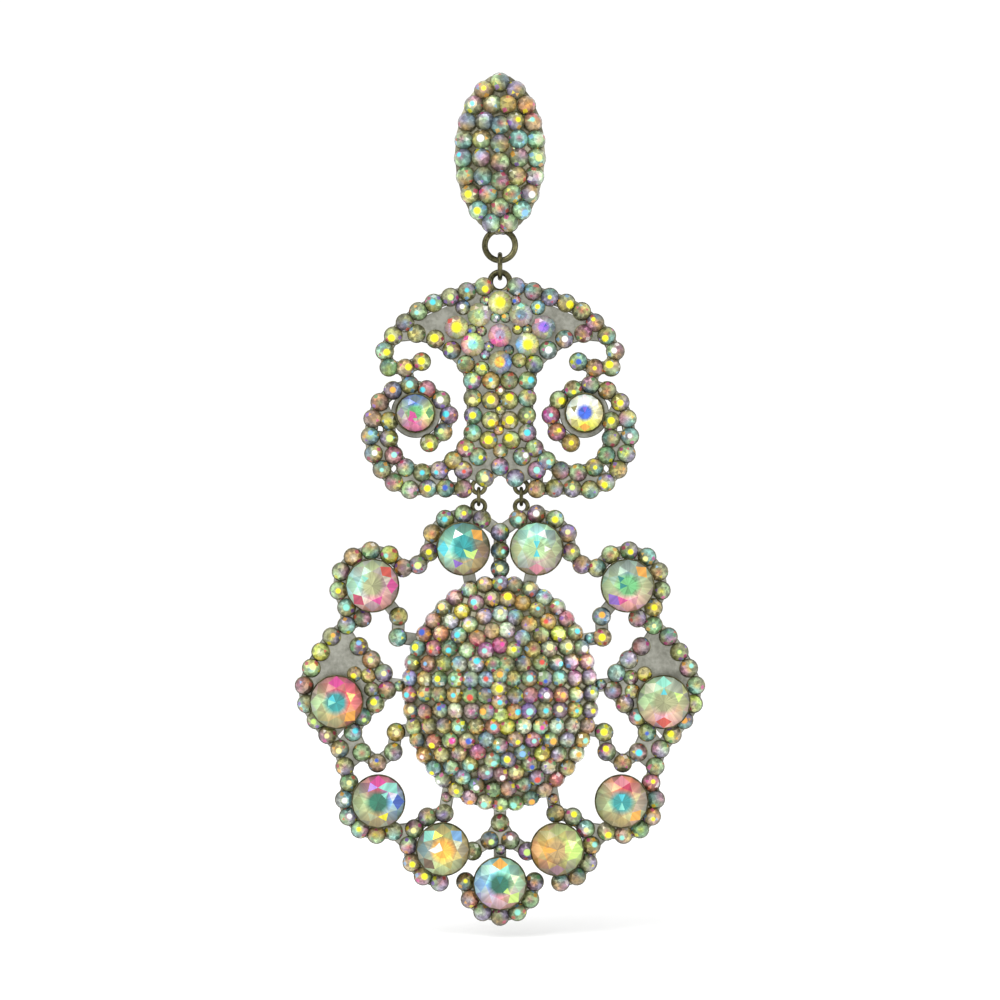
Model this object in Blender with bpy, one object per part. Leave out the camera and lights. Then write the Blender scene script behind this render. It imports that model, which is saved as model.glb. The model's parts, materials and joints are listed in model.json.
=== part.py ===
"""Chandelier earring: a stone-set stud, a scroll motif and a round medallion that hang in a chain.

The front faces -Y and the origin is where the ear post meets the back of the stud.
Lengths below are millimetres, and MM turns them into metres.
"""
import math

import bmesh
import bpy
from mathutils import Matrix, Vector
from mathutils.geometry import delaunay_2d_cdt

MM = 0.001

# Stones: diameters at the girdle
SMALL_D = 2.0
FIELD_D = 2.75
EYE_D = 4.5
BIG_D = 6.1
STONE_GAP = 0.06          # between neighbours in a row
SMALL_FOOT_D = SMALL_D * 1.06      # where its foot meets the plate's inside
SMALL_TABLE_D = SMALL_D * 0.52
SMALL_HEIGHT = SMALL_D * 0.375     # crown of a small stone above its plate
SMALL_SINK = 0.25         # how deep its foot is fused in the plate
TABLE_SHARE = 0.52        # of a large stone: its table, pavilion and crown as shares of its girdle
PAVILION_SHARE = 0.25
CROWN_SHARE = 0.18
FIELD_BASE_SHARE = 0.6    # flat base of a field stone
STONE_SIDES = 16
FIELD_SIDES = 12

# Plates and wires
PLATE_T = 0.9
STRAND_W = SMALL_D * 1.2  # width of the plate under one row of stones
STEM_W = 0.96             # short stems that carry the small loops
WIRE_D = 0.66             # stud ring and top loop
LINK_WIRE_D = 0.58
LOOP_WIRE_D = 0.48        # the small loops between scroll and medallion
RING_WIRE_D = 0.44
SEAT_GAP = 0.06           # between a stone and its cup, or a piece and what it sits on
WIRE_GAP = 0.09           # between two wires that hang in each other
CUP_WALL = 0.2
CUP_FLOOR = 0.2           # lowest point of a cup's hollow above the front of the plate
CUP_FOOT_SHARE = 0.37     # foot of a cup, as a share of its stone's girdle

# Stud
STUD_HALF_W = 5.3
STUD_HALF_H = 9.4
STUD_RIM = 0.8
STUD_RISE = 1.3
STUD_RING_R = 1.78        # to the middle of the wire
# Ovals of small stones on the stud, from the edge in, and the line of stones down its middle
STUD_OVALS = (
    {"row": 0, "count": 19, "turn": 0.0},
    {"row": 1, "count": 13, "turn": 0.5},
)
STUD_LINE_COUNT = 4
STUD_LINE_ROW = 2.5
STUD_LEVELS = (1.0, 0.8, 0.55, 0.28)       # rings of the stud's dome, as shares of its half sizes
STUD_SIDES = 24
POST_D = 0.8
POST_LENGTH = 11.0
POST_PAD_D = 3.0
POST_PAD_T = 0.5

# Top link and scroll
LINK_R = 1.4
TOP_LOOP_R = 1.15
SCROLL_HALF_W = 15.2      # to the middle of the outermost row
SCROLL_DROP = 25.2        # from the top loop down to the scroll's lowest edge

# Joining rings and loops between scroll and medallion
JOINING_X = 2.5
HINGE_TUCK = 0.4          # the medallion's hinge line lies this far above the scroll's lowest edge
JOINING_R = 0.95
LOOP_R = 0.75
TOP_CLEARANCE = 1.25      # from the hinge line down to the medallion's top edge

# Medallion
OVAL_HALF_W = 11.5
OVAL_HALF_H = 13.8
PAN_LIP = 0.3             # the pan stands out past the dome all round
PAN_W = 2.6
DOME_RIM = 0.4
DOME_RISE = 3.0
DOME_WALL = 0.9
DOME_LEVELS = (1.0, 0.85, 0.65, 0.4, 0.2)  # rings of the dome's outside, then of its hollow
HOLLOW_LEVELS = (0.25, 0.6, 0.85, 1.0)
DOME_SIDES = 28

# Even spacing along curves
CURVE_STEPS = 24          # short steps between two control points
OVAL_STEPS = 360
SHORT_FIT = 0.12          # a row takes one more stone when only this share of a pitch is missing
SHARPEST_BEND = 0.6       # how far a strand's outline may reach out on a bend

# Rows of small stones on the scroll's right half: shares of SCROLL_HALF_W across and SCROLL_DROP down
SCROLL_ROWS = {
    "arch": ((0.125, 0.023), (0.336, 0.062), (0.599, 0.126), (0.803, 0.237), (0.895, 0.340),
             (0.816, 0.412), (0.605, 0.372)),
    "under_arch": ((0.645, 0.241), (0.504, 0.265), (0.375, 0.317), (0.263, 0.384)),
    "column_side": ((0.213, 0.460), (0.213, 0.718), (0.309, 0.797), (0.421, 0.865), (0.553, 0.889),
                    (0.691, 0.877), (0.803, 0.825), (0.855, 0.738), (0.855, 0.648)),
    "column_mid": ((0.070, 0.460), (0.082, 0.718), (0.158, 0.805), (0.283, 0.877)),
    "outer_scroll": ((0.283, 0.964), (0.507, 0.960), (0.750, 0.960), (0.941, 0.845), (1.000, 0.694),
                     (0.895, 0.537), (0.651, 0.482), (0.408, 0.583), (0.434, 0.694), (0.546, 0.750)),
    "foot": ((0.000, 0.861), (0.118, 0.914)),
}
# The closed plate of the scroll's field, right half, in the same shares
FIELD_OUTLINE = ((0.000, 0.020), (0.130, 0.030), (0.340, 0.080), (0.600, 0.150), (0.780, 0.240),
                 (0.640, 0.260), (0.500, 0.290), (0.370, 0.340), (0.270, 0.400), (0.250, 0.460),
                 (0.250, 0.720), (0.330, 0.800), (0.300, 0.880), (0.130, 0.920), (0.000, 0.880))
FIELD_STONES = ((0.000, 0.098), (0.161, 0.154), (0.336, 0.213), (0.000, 0.249), (0.211, 0.293),
                (0.000, 0.376))
EYE_AT = (0.651, 0.612)

# Petals, right half: x_share and z_share of the oval's half sizes, and the arc of small stones
# round each big stone, from start_deg to end_deg
PETALS = (
    {"x_share": 0.372, "z_share": 1.232, "start_deg": 122, "end_deg": -6},
    {"x_share": 1.296, "z_share": 0.920, "start_deg": 150, "end_deg": -72},
    {"x_share": 1.661, "z_share": -0.065, "start_deg": None, "end_deg": None},
    {"x_share": 1.235, "z_share": -0.906, "start_deg": 30, "end_deg": -115},
    {"x_share": 0.580, "z_share": -1.312, "start_deg": 92, "end_deg": -84},
    {"x_share": 0.000, "z_share": -1.601, "start_deg": 0, "end_deg": -90},
)
# Other rows of the medallion's right half, in shares of the oval's half sizes
MEDALLION_ROWS = {
    "crest": ((0.0, 1.37), (0.0, 1.06)),
    "bridge": ((0.835, 1.095),),
    "stalk_upper": ((1.035, 0.655), (1.043, 0.478)),
    "diamond_outer": ((1.565, 0.580), (1.757, 0.442), (1.991, 0.087), (1.948, -0.130), (1.704, -0.406),
                      (1.600, -0.510), (1.583, -0.620)),
    "diamond_inner": ((1.440, 0.400), (1.140, 0.080), (1.400, -0.190), (1.500, -0.330)),
    "stalk_lower": ((1.061, -0.330), (1.087, -0.493), (1.270, -0.594), (1.410, -0.500)),
    "bottom": ((0.0, -1.100), (0.111, -1.254), (0.278, -1.341)),
}
DIAMOND_OUTLINE = ((1.565, 0.620), (1.990, 0.087), (1.700, -0.420), (1.140, 0.080))
# Short bridges of plate, from one place to another in the same shares
BRIDGES = {
    "crest_to_pan": ((0.0, 1.06), (0.0, 0.9)),
    "upper_stalk_to_pan": ((1.043, 0.478), (0.82, 0.45)),
    "lower_stalk_to_pan": ((1.061, -0.33), (0.85, -0.30)),
    "diamond_to_pan": ((1.140, 0.080), (0.95, 0.06)),
    "bottom_to_pan": ((0.0, -1.10), (0.0, -0.95)),
    "bottom_to_lowest_petal": ((0.0, -1.20), (0.0, -1.601)),
    "first_petal_to_pan": ((0.372, 1.232), (0.30, 0.93)),
    "fifth_petal_to_pan": ((0.57, -1.03), (0.52, -0.80)),
    "second_petal_to_stalk": ((1.296, 0.920), (1.035, 0.655)),
}
TOP_STEM_END = (0.0, 0.1)                  # where the top loop's stem ends, in the scroll's shares

# Colours: red, green, blue, roughness, metallic
METAL = (0.30, 0.29, 0.23, 0.38, 1.0)
CRYSTAL = (0.62, 0.66, 0.60, 0.08, 0.3)
CRYSTAL_WARM = (0.72, 0.66, 0.42, 0.08, 0.3)

# Heights and hinge lines that follow from the sizes above
PLATE_MID_Y = -PLATE_T / 2
PITCH = SMALL_D + STONE_GAP
STUD_RING_Z = -STUD_HALF_H - STUD_RING_R + WIRE_D * 0.75
LINK_SWING_Z = STUD_RING_Z - STUD_RING_R
LINK_Z = LINK_SWING_Z + WIRE_D / 2 + LINK_WIRE_D / 2 + WIRE_GAP - LINK_R
DROP_SWAY_Z = LINK_Z - LINK_R
TOP_LOOP_Z = DROP_SWAY_Z + WIRE_D / 2 + LINK_WIRE_D / 2 + WIRE_GAP - TOP_LOOP_R
HINGE_Z = TOP_LOOP_Z - SCROLL_DROP + HINGE_TUCK
RING_SPREAD = JOINING_R - (LOOP_WIRE_D + RING_WIRE_D) / 2 - WIRE_GAP
JOINING_Z = HINGE_Z - RING_SPREAD
ROW_R = (BIG_D + SMALL_D) / 2
OVAL_Z = HINGE_Z - TOP_CLEARANCE - STRAND_W / 2 - ROW_R - PETALS[0]["z_share"] * OVAL_HALF_H


def clear_scene():
    for item in list(bpy.data.objects):
        bpy.data.objects.remove(item, do_unlink=True)


def principled(name, look):
    red, green, blue, roughness, metallic = look
    material = bpy.data.materials.new(name)
    material.use_nodes = True
    shader = material.node_tree.nodes["Principled BSDF"]
    shader.inputs["Base Color"].default_value = (red, green, blue, 1.0)
    shader.inputs["Roughness"].default_value = roughness
    shader.inputs["Metallic"].default_value = metallic
    material.diffuse_color = (red, green, blue, 1.0)
    return material


def mesh_object(name, shape):
    """An object that holds the closed shape, whose points are millimetres in world places."""
    bmesh.ops.recalc_face_normals(shape, faces=shape.faces[:])
    bmesh.ops.scale(shape, vec=(MM, MM, MM), verts=shape.verts[:])
    mesh = bpy.data.meshes.new(name)
    shape.to_mesh(mesh)
    shape.free()
    item = bpy.data.objects.new(name, mesh)
    bpy.context.scene.collection.objects.link(item)
    return item


def sub_part(name, shape, look, parent=None, round_piece=False):
    item = mesh_object(name, shape)
    item.data.materials.append(principled(name + "_finish", look))
    if round_piece:
        item.data.shade_smooth()
    if parent:
        item.parent = parent
        item.matrix_parent_inverse = Matrix.Translation(parent.location).inverted()
    return item


def fuse(item, name, shape):
    """Joins a further closed shape to the item, so that both are one body."""
    helper = mesh_object(name, shape)
    helper.hide_render = True
    helper.display_type = "WIRE"
    join = item.modifiers.new(name, "BOOLEAN")
    join.operation = "UNION"
    join.solver = "EXACT"
    join.use_self = True
    join.object = helper


def axis_empty(name, y, z, parent=None):
    empty = bpy.data.objects.new(name, None)
    bpy.context.scene.collection.objects.link(empty)
    empty.location = (0.0, y * MM, z * MM)
    if parent:
        empty.parent = parent
        empty.matrix_parent_inverse = Matrix.Translation(parent.location).inverted()
        empty.location = (0.0, y * MM, z * MM)
    return empty


def facing(x, y, z, turn=0.0):
    """Places a shape whose own +Z looks out of the front, turned in the plane of the plate."""
    upright = Matrix.Rotation(math.pi / 2, 4, "X")
    return Matrix.Translation((x, y, z)) @ upright @ Matrix.Rotation(turn, 4, "Z")


def lathe(shape, place, profile, sides):
    """A closed turned solid from (radius, height) rows; a radius of 0 closes an end in a point."""
    rings = []
    for radius, height in profile:
        if radius == 0:
            rings.append([shape.verts.new(place @ Vector((0, 0, height)))])
            continue
        ring = []
        for step in range(sides):
            angle = math.tau * (step + 0.5) / sides
            point = Vector((radius * math.cos(angle), radius * math.sin(angle), height))
            ring.append(shape.verts.new(place @ point))
        rings.append(ring)
    for lower, upper in zip(rings, rings[1:]):
        for step in range(sides):
            after = (step + 1) % sides
            if len(lower) == 1:
                shape.faces.new((lower[0], upper[after], upper[step]))
            elif len(upper) == 1:
                shape.faces.new((lower[step], lower[after], upper[0]))
            else:
                shape.faces.new((lower[step], lower[after], upper[after], upper[step]))
    if len(rings[0]) > 1:
        shape.faces.new(rings[0][::-1])
    if len(rings[-1]) > 1:
        shape.faces.new(rings[-1])


def wire_ring(shape, place, mean_r, wire_d, sides=14, wire_sides=6):
    """A closed ring of round wire about the place's own Z axis."""
    rings = []
    for step in range(sides):
        turn = Matrix.Rotation(math.tau * step / sides, 4, "Z")
        ring = []
        for corner in range(wire_sides):
            angle = math.tau * corner / wire_sides
            local = Vector((mean_r + wire_d / 2 * math.cos(angle), 0, wire_d / 2 * math.sin(angle)))
            ring.append(shape.verts.new(place @ turn @ local))
        rings.append(ring)
    for step in range(sides):
        here = rings[step]
        there = rings[(step + 1) % sides]
        for corner in range(wire_sides):
            after = (corner + 1) % wire_sides
            shape.faces.new((here[corner], there[corner], there[after], here[after]))


def curve_points(controls, spacing):
    """Even points along a smooth curve through the controls, at least the spacing apart."""
    ends = [2 * controls[0] - controls[1], *controls, 2 * controls[-1] - controls[-2]]
    fine = []
    for index in range(1, len(ends) - 2):
        before, start, end, after = ends[index - 1:index + 3]
        for step in range(CURVE_STEPS):
            t = step / CURVE_STEPS
            fine.append(0.5 * (2 * start + (end - before) * t
                               + (2 * before - 5 * start + 4 * end - after) * t * t
                               + (3 * start - before - 3 * end + after) * t ** 3))
    fine.append(controls[-1])
    lengths = [0.0]
    for near, far in zip(fine, fine[1:]):
        lengths.append(lengths[-1] + (far - near).length)
    count = max(1, int(lengths[-1] / spacing + SHORT_FIT))
    found = []
    at = 0
    for step in range(count + 1):
        wanted = lengths[-1] * step / count
        while at < len(fine) - 2 and lengths[at + 1] < wanted:
            at += 1
        part = (wanted - lengths[at]) / max(lengths[at + 1] - lengths[at], 1e-9)
        found.append(fine[at].lerp(fine[at + 1], part))
    return found


def arc_points(centre, radius, start_deg, end_deg, spacing):
    """Even points on an arc of stones round a centre, run clockwise from start to end."""
    sweep = math.radians(start_deg - end_deg)
    count = max(1, int(sweep * radius / spacing + SHORT_FIT))
    found = []
    for step in range(count + 1):
        angle = math.radians(start_deg) - sweep * step / count
        found.append(centre + radius * Vector((math.cos(angle), math.sin(angle))))
    return found


def strand_outline(points, width):
    """The outline of a plate that follows the points, with a rounded end past the first and last."""
    half = width / 2
    slant = math.sqrt(0.5)
    left = []
    right = []
    for index, point in enumerate(points):
        before = points[max(index - 1, 0)]
        after = points[min(index + 1, len(points) - 1)]
        into = (point - before).normalized() if index else (after - point).normalized()
        out = (after - point).normalized() if index < len(points) - 1 else into
        along = (into + out).normalized()
        side = Vector((-along.y, along.x))
        reach = half / max(side.dot(Vector((-out.y, out.x))), SHARPEST_BEND)
        left.append(point + side * reach)
        right.append(point - side * reach)
    first = (points[1] - points[0]).normalized()
    last = (points[-1] - points[-2]).normalized()
    first_side = Vector((-first.y, first.x))
    last_side = Vector((-last.y, last.x))
    tail = [points[-1] + half * slant * (last_side + last), points[-1] + half * last,
            points[-1] + half * slant * (last - last_side)]
    head = [points[0] - half * slant * (first + first_side), points[0] - half * first,
            points[0] + half * slant * (first_side - first)]
    return left + tail + right[::-1] + head


def disc_outline(centre, radius, sides=12):
    found = []
    for step in range(sides):
        angle = math.tau * step / sides
        found.append(centre + radius * Vector((math.cos(angle), math.sin(angle))))
    return found


def oval_outline(half_w, half_h, centre_z, sides=32):
    found = []
    for step in range(sides):
        angle = math.tau * step / sides
        found.append(Vector((half_w * math.cos(angle), centre_z + half_h * math.sin(angle))))
    return found


def even_oval(half_w, half_h, count, turn):
    """Points at equal distances round the stud's oval, from its top; turn is a share of one step."""
    fine = []
    for step in range(OVAL_STEPS + 1):
        angle = math.tau * step / OVAL_STEPS + math.pi / 2
        across = stud_x(angle) * half_w / STUD_HALF_W
        fine.append(Vector((across, half_h * math.sin(angle))))
    lengths = [0.0]
    for near, far in zip(fine, fine[1:]):
        lengths.append(lengths[-1] + (far - near).length)
    found = []
    at = 0
    for step in range(count):
        wanted = lengths[-1] * (step + turn) / count
        while lengths[at + 1] < wanted:
            at += 1
        found.append(fine[at].lerp(fine[at + 1], (wanted - lengths[at]) / (lengths[at + 1] - lengths[at])))
    return found


def mirrored(outline):
    return [Vector((-point.x, point.y)) for point in outline][::-1]


def counter_clockwise(outline):
    area = sum(near.cross(far) for near, far in zip(outline, outline[1:] + outline[:1]))
    return outline if area > 0 else outline[::-1]


def plate(outlines, hole=None):
    """One flat plate from outlines that overlap. The hole is cut from the first outline only."""
    points = []
    loops = []
    for outline in outlines + ([hole] if hole else []):
        start = len(points)
        points += counter_clockwise(outline)
        loops.append(list(range(start, start + len(outline))))
    places, _, faces, _, _, sources = delaunay_2d_cdt(points, [], loops, 1, 1e-5)
    hole_loop = len(outlines)
    kept = []
    for face, source in zip(faces, sources):
        in_hole = hole and hole_loop in source
        covers = [loop for loop in source if loop != hole_loop]
        if covers and not (in_hole and covers == [0]):
            kept.append(face)
    shape = bmesh.new()
    front = {}
    back = {}
    sides = {}
    for face in kept:
        for index in face:
            if index not in front:
                place = places[index]
                front[index] = shape.verts.new((place.x, -PLATE_T, place.y))
                back[index] = shape.verts.new((place.x, 0.0, place.y))
        shape.faces.new([front[index] for index in face])
        shape.faces.new([back[index] for index in reversed(face)])
        for near, far in zip(face, list(face[1:]) + [face[0]]):
            sides[(near, far)] = True
    for near, far in sides:
        if (far, near) not in sides:
            shape.faces.new((front[far], front[near], back[near], back[far]))
    return shape


def add_small_stone(shape, place):
    lathe(shape, place, ((SMALL_FOOT_D / 2, -SMALL_SINK), (SMALL_TABLE_D / 2, SMALL_HEIGHT)), 8)


def add_row(shape, points):
    """Small stones on the front of the plate, each with a flat side towards the next."""
    for index, point in enumerate(points):
        before = points[max(index - 1, 0)]
        after = points[min(index + 1, len(points) - 1)]
        along = after - before
        turn = math.atan2(along.y, along.x) if along.length > 0 else 0.0
        add_small_stone(shape, facing(point.x, -PLATE_T, point.y, turn))


def add_cup(shape, place, stone_d):
    """A flared cup, whose foot is fused in the plate and whose cone-shaped hollow holds the stone."""
    rim = CUP_FLOOR + PAVILION_SHARE * stone_d
    profile = (
        (0, -PLATE_T / 2),
        (CUP_FOOT_SHARE * stone_d, -PLATE_T / 2),
        (stone_d / 2 + CUP_WALL, rim),
        (stone_d / 2, rim),
        (0, CUP_FLOOR),
    )
    lathe(shape, place, profile, STONE_SIDES)


def cut_stone(shape, place, stone_d, base_share, base_z, sides):
    """A round cut stone: pavilion down to a point or a flat base, sharp girdle, crown and table."""
    girdle_z = base_z + PAVILION_SHARE * stone_d * (1 - base_share)
    if base_share:
        base = [shape.verts.new(place @ round_point(stone_d / 2 * base_share, step + 0.5, sides, base_z))
                for step in range(sides)]
        shape.faces.new(base[::-1])
        pavilion = base
    else:
        pavilion = [shape.verts.new(place @ Vector((0, 0, base_z)))] * sides
    girdle = [shape.verts.new(place @ round_point(stone_d / 2, step + 0.5, sides, girdle_z))
              for step in range(sides)]
    for step in range(sides):
        after = (step + 1) % sides
        corners = [pavilion[step], pavilion[after], girdle[after], girdle[step]]
        shape.faces.new(corners if base_share else corners[1:])
    table_sides = sides // 2
    table_z = girdle_z + CROWN_SHARE * stone_d
    table = [shape.verts.new(place @ round_point(stone_d / 2 * TABLE_SHARE, step, table_sides, table_z))
             for step in range(table_sides)]
    shape.faces.new(table)
    for step in range(table_sides):
        # Each table corner takes the girdle corner on either side of it, and the gap is a main facet
        before = girdle[step * 2 - 1]
        after = girdle[step * 2]
        beyond = girdle[step * 2 + 1]
        shape.faces.new((before, after, table[step]))
        shape.faces.new((after, beyond, table[(step + 1) % table_sides], table[step]))


def round_point(radius, step, sides, height):
    angle = math.tau * step / sides
    return Vector((radius * math.cos(angle), radius * math.sin(angle), height))


def scroll_point(share):
    return Vector((share[0] * SCROLL_HALF_W, TOP_LOOP_Z - share[1] * SCROLL_DROP))


def medallion_point(share):
    return Vector((share[0] * OVAL_HALF_W, OVAL_Z + share[1] * OVAL_HALF_H))


def both_sides(rows):
    """The right half's rows and their mirror images, with a row on the middle line kept once."""
    found = []
    for row in rows:
        found.append(row)
        middle = all(abs(point.x) < SMALL_D / 4 for point in row)
        if not middle:
            found.append([Vector((-point.x, point.y)) for point in row if abs(point.x) > SMALL_D / 4])
    return found


def scroll_rows():
    rows = []
    for controls in SCROLL_ROWS.values():
        rows.append(curve_points([scroll_point(share) for share in controls], PITCH))
    return rows


def medallion_rows():
    rows = []
    for petal in PETALS:
        if petal["start_deg"] is None:
            continue
        centre = medallion_point((petal["x_share"], petal["z_share"]))
        rows.append(arc_points(centre, ROW_R, petal["start_deg"], petal["end_deg"], PITCH))
    for controls in MEDALLION_ROWS.values():
        points = [medallion_point(share) for share in controls]
        rows.append(curve_points(points, PITCH) if len(points) > 1 else points)
    return rows


def strand_of(row):
    """The outline of the plate under a row; a stone that stands alone has a disc."""
    if len(row) == 1:
        return disc_outline(row[0], STRAND_W / 2, 8)
    return strand_outline(row, STRAND_W)


def build_stud():
    shape = bmesh.new()
    rings = []
    for share, y in [(1.0, 0.0)] + [(share, stud_front(share)) for share in STUD_LEVELS]:
        ring = []
        for step in range(STUD_SIDES):
            angle = math.tau * step / STUD_SIDES
            across = stud_x(angle) * share
            ring.append(shape.verts.new((across, y, STUD_HALF_H * math.sin(angle) * share)))
        rings.append(ring)
    for lower, upper in zip(rings, rings[1:]):
        join_rings(shape, lower, upper)
    shape.faces.new(rings[0])
    tip = shape.verts.new((0.0, stud_front(0.0), 0.0))
    for step in range(STUD_SIDES):
        shape.faces.new((rings[-1][step], rings[-1][(step + 1) % STUD_SIDES], tip))
    stud = sub_part("stud_frame", shape, METAL)
    ring = bmesh.new()
    wire_ring(ring, facing(0, PLATE_MID_Y, STUD_RING_Z), STUD_RING_R, WIRE_D, 16)
    fuse(stud, "stud_ring_join", ring)
    stones = bmesh.new()
    for oval in STUD_OVALS:
        inset = (SMALL_D + STONE_GAP) / 2 + oval["row"] * PITCH
        half_w = STUD_HALF_W - inset
        for point in even_oval(half_w, STUD_HALF_H - inset, oval["count"], oval["turn"]):
            add_dome_stone(stones, point.x, point.y)
    line_end = STUD_HALF_H - SMALL_D / 2 - PITCH * STUD_LINE_ROW
    for step in range(STUD_LINE_COUNT):
        add_dome_stone(stones, 0.0, line_end * (1 - 2 * step / (STUD_LINE_COUNT - 1)))
    fuse(stud, "stud_stones_join", stones)


def stud_x(angle):
    return STUD_HALF_W * math.copysign(abs(math.cos(angle)) ** 1.1, math.cos(angle))


def stud_front(share):
    return -STUD_RIM - STUD_RISE * (1 - share * share)


def add_dome_stone(shape, x, z):
    """A small stone that stands square on the stud's dome."""
    share = math.hypot(x / STUD_HALF_W, z / STUD_HALF_H)
    slope = 2 * STUD_RISE
    outward = Vector((slope * x / STUD_HALF_W ** 2, -1.0, slope * z / STUD_HALF_H ** 2)).normalized()
    turn = outward.to_track_quat("Z", "Y").to_matrix().to_4x4()
    add_small_stone(shape, Matrix.Translation((x, stud_front(share), z)) @ turn)


def build_post():
    shape = bmesh.new()
    place = Matrix.Rotation(-math.pi / 2, 4, "X")
    profile = (
        (POST_PAD_D / 2, SEAT_GAP),
        (POST_PAD_D / 2, SEAT_GAP + POST_PAD_T),
        (POST_D / 2, SEAT_GAP + POST_PAD_T),
        (POST_D / 2, POST_LENGTH - POST_D / 2),
        (POST_D / 4, POST_LENGTH),
    )
    lathe(shape, place, profile, 16)
    sub_part("ear_post", shape, METAL)


def build_link(parent):
    shape = bmesh.new()
    place = Matrix.Translation((0, PLATE_MID_Y, LINK_Z)) @ Matrix.Rotation(math.pi / 2, 4, "Y")
    wire_ring(shape, place, LINK_R, LINK_WIRE_D, 16)
    sub_part("top_link", shape, METAL, parent, True)


def build_scroll(parent):
    rows = both_sides(scroll_rows())
    outlines = [strand_of(row) for row in rows if len(row) > 1]
    half = [scroll_point(share) for share in FIELD_OUTLINE]
    outlines.append(half + mirrored(half)[1:-1])
    eye = scroll_point(EYE_AT)
    pad_r = EYE_D / 2 + STRAND_W / 2 - STONE_GAP
    outlines.append(disc_outline(eye, pad_r))
    outlines.append(mirrored(disc_outline(eye, pad_r)))
    foot = scroll_point(SCROLL_ROWS["foot"][-1])
    loop_z = HINGE_Z + LOOP_R
    stem = [foot, Vector((JOINING_X, loop_z + LOOP_R))]
    outlines.append(strand_outline(stem, STEM_W))
    outlines.append(mirrored(strand_outline(stem, STEM_W)))
    top_stem = [Vector((0, TOP_LOOP_Z - TOP_LOOP_R)), scroll_point(TOP_STEM_END)]
    outlines.append(strand_outline(top_stem, STRAND_W))
    scroll = sub_part("scroll_frame", plate(outlines), METAL, parent)
    loops = bmesh.new()
    wire_ring(loops, facing(0, PLATE_MID_Y, TOP_LOOP_Z), TOP_LOOP_R, WIRE_D, 12)
    for side in (-1, 1):
        wire_ring(loops, facing(side * JOINING_X, PLATE_MID_Y, loop_z), LOOP_R, LOOP_WIRE_D, 12)
    fuse(scroll, "scroll_loops_join", loops)
    stones = bmesh.new()
    for row in rows:
        add_row(stones, row)
    fuse(scroll, "scroll_stones_join", stones)
    cups = bmesh.new()
    for side in (-1, 1):
        add_cup(cups, facing(side * eye.x, -PLATE_T, eye.y), EYE_D)
    fuse(scroll, "scroll_cups_join", cups)
    for side, name in ((-1, "left"), (1, "right")):
        stone = bmesh.new()
        place = facing(side * eye.x, -PLATE_T, eye.y)
        cut_stone(stone, place, EYE_D, 0, CUP_FLOOR + SEAT_GAP, STONE_SIDES)
        sub_part("scroll_eye_stone_" + name, stone, CRYSTAL, parent)
    places = []
    for share in FIELD_STONES:
        point = scroll_point(share)
        places.append(point)
        if point.x > 0:
            places.append(Vector((-point.x, point.y)))
    for number, point in enumerate(places, 1):
        stone = bmesh.new()
        place = facing(point.x, -PLATE_T, point.y)
        cut_stone(stone, place, FIELD_D, FIELD_BASE_SHARE, SEAT_GAP, FIELD_SIDES)
        sub_part("scroll_stone_%d" % number, stone, CRYSTAL_WARM, parent)


def build_joining_rings(parent):
    for side, name in ((-1, "left"), (1, "right")):
        shape = bmesh.new()
        place = Matrix.Translation((side * JOINING_X, PLATE_MID_Y, JOINING_Z))
        wire_ring(shape, place @ Matrix.Rotation(math.pi / 2, 4, "Y"), JOINING_R, RING_WIRE_D, 12)
        sub_part("joining_ring_" + name, shape, METAL, parent, True)


def build_medallion(parent):
    rows = both_sides(medallion_rows())
    pan = oval_outline(OVAL_HALF_W, OVAL_HALF_H, OVAL_Z)
    hole = oval_outline(OVAL_HALF_W - PAN_W, OVAL_HALF_H - PAN_W, OVAL_Z)
    outlines = [pan]
    outlines += [strand_of(row) for row in rows]
    petals = petal_places()
    outlines += [disc_outline(point, BIG_D / 2) for point in petals]
    diamond = [medallion_point(share) for share in DIAMOND_OUTLINE]
    outlines += [diamond, mirrored(diamond)]
    loop_z = HINGE_Z - 2 * RING_SPREAD - LOOP_R
    crest = petals[0]
    stem = [Vector((JOINING_X, loop_z - LOOP_R)), crest]
    outlines += [strand_outline(stem, STEM_W), mirrored(strand_outline(stem, STEM_W))]
    bridges = [[medallion_point(share) for share in ends] for ends in BRIDGES.values()]
    for bridge in both_sides(bridges):
        outlines.append(strand_outline(bridge, STRAND_W))
    medallion = sub_part("medallion_frame", plate(outlines, hole), METAL, parent)
    loops = bmesh.new()
    for side in (-1, 1):
        wire_ring(loops, facing(side * JOINING_X, PLATE_MID_Y, loop_z), LOOP_R, LOOP_WIRE_D, 12)
    fuse(medallion, "medallion_loops_join", loops)
    stones = bmesh.new()
    for row in rows:
        add_row(stones, row)
    fuse(medallion, "medallion_stones_join", stones)
    cups = bmesh.new()
    for point in petals:
        add_cup(cups, facing(point.x, -PLATE_T, point.y), BIG_D)
    fuse(medallion, "medallion_cups_join", cups)
    for number, point in enumerate(petals, 1):
        stone = bmesh.new()
        place = facing(point.x, -PLATE_T, point.y)
        cut_stone(stone, place, BIG_D, 0, CUP_FLOOR + SEAT_GAP, STONE_SIDES)
        sub_part("petal_stone_%d" % number, stone, CRYSTAL, parent)


def petal_places():
    found = []
    for petal in PETALS:
        point = medallion_point((petal["x_share"], petal["z_share"]))
        found.append(point)
        if point.x > 0:
            found.append(Vector((-point.x, point.y)))
    return found


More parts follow.
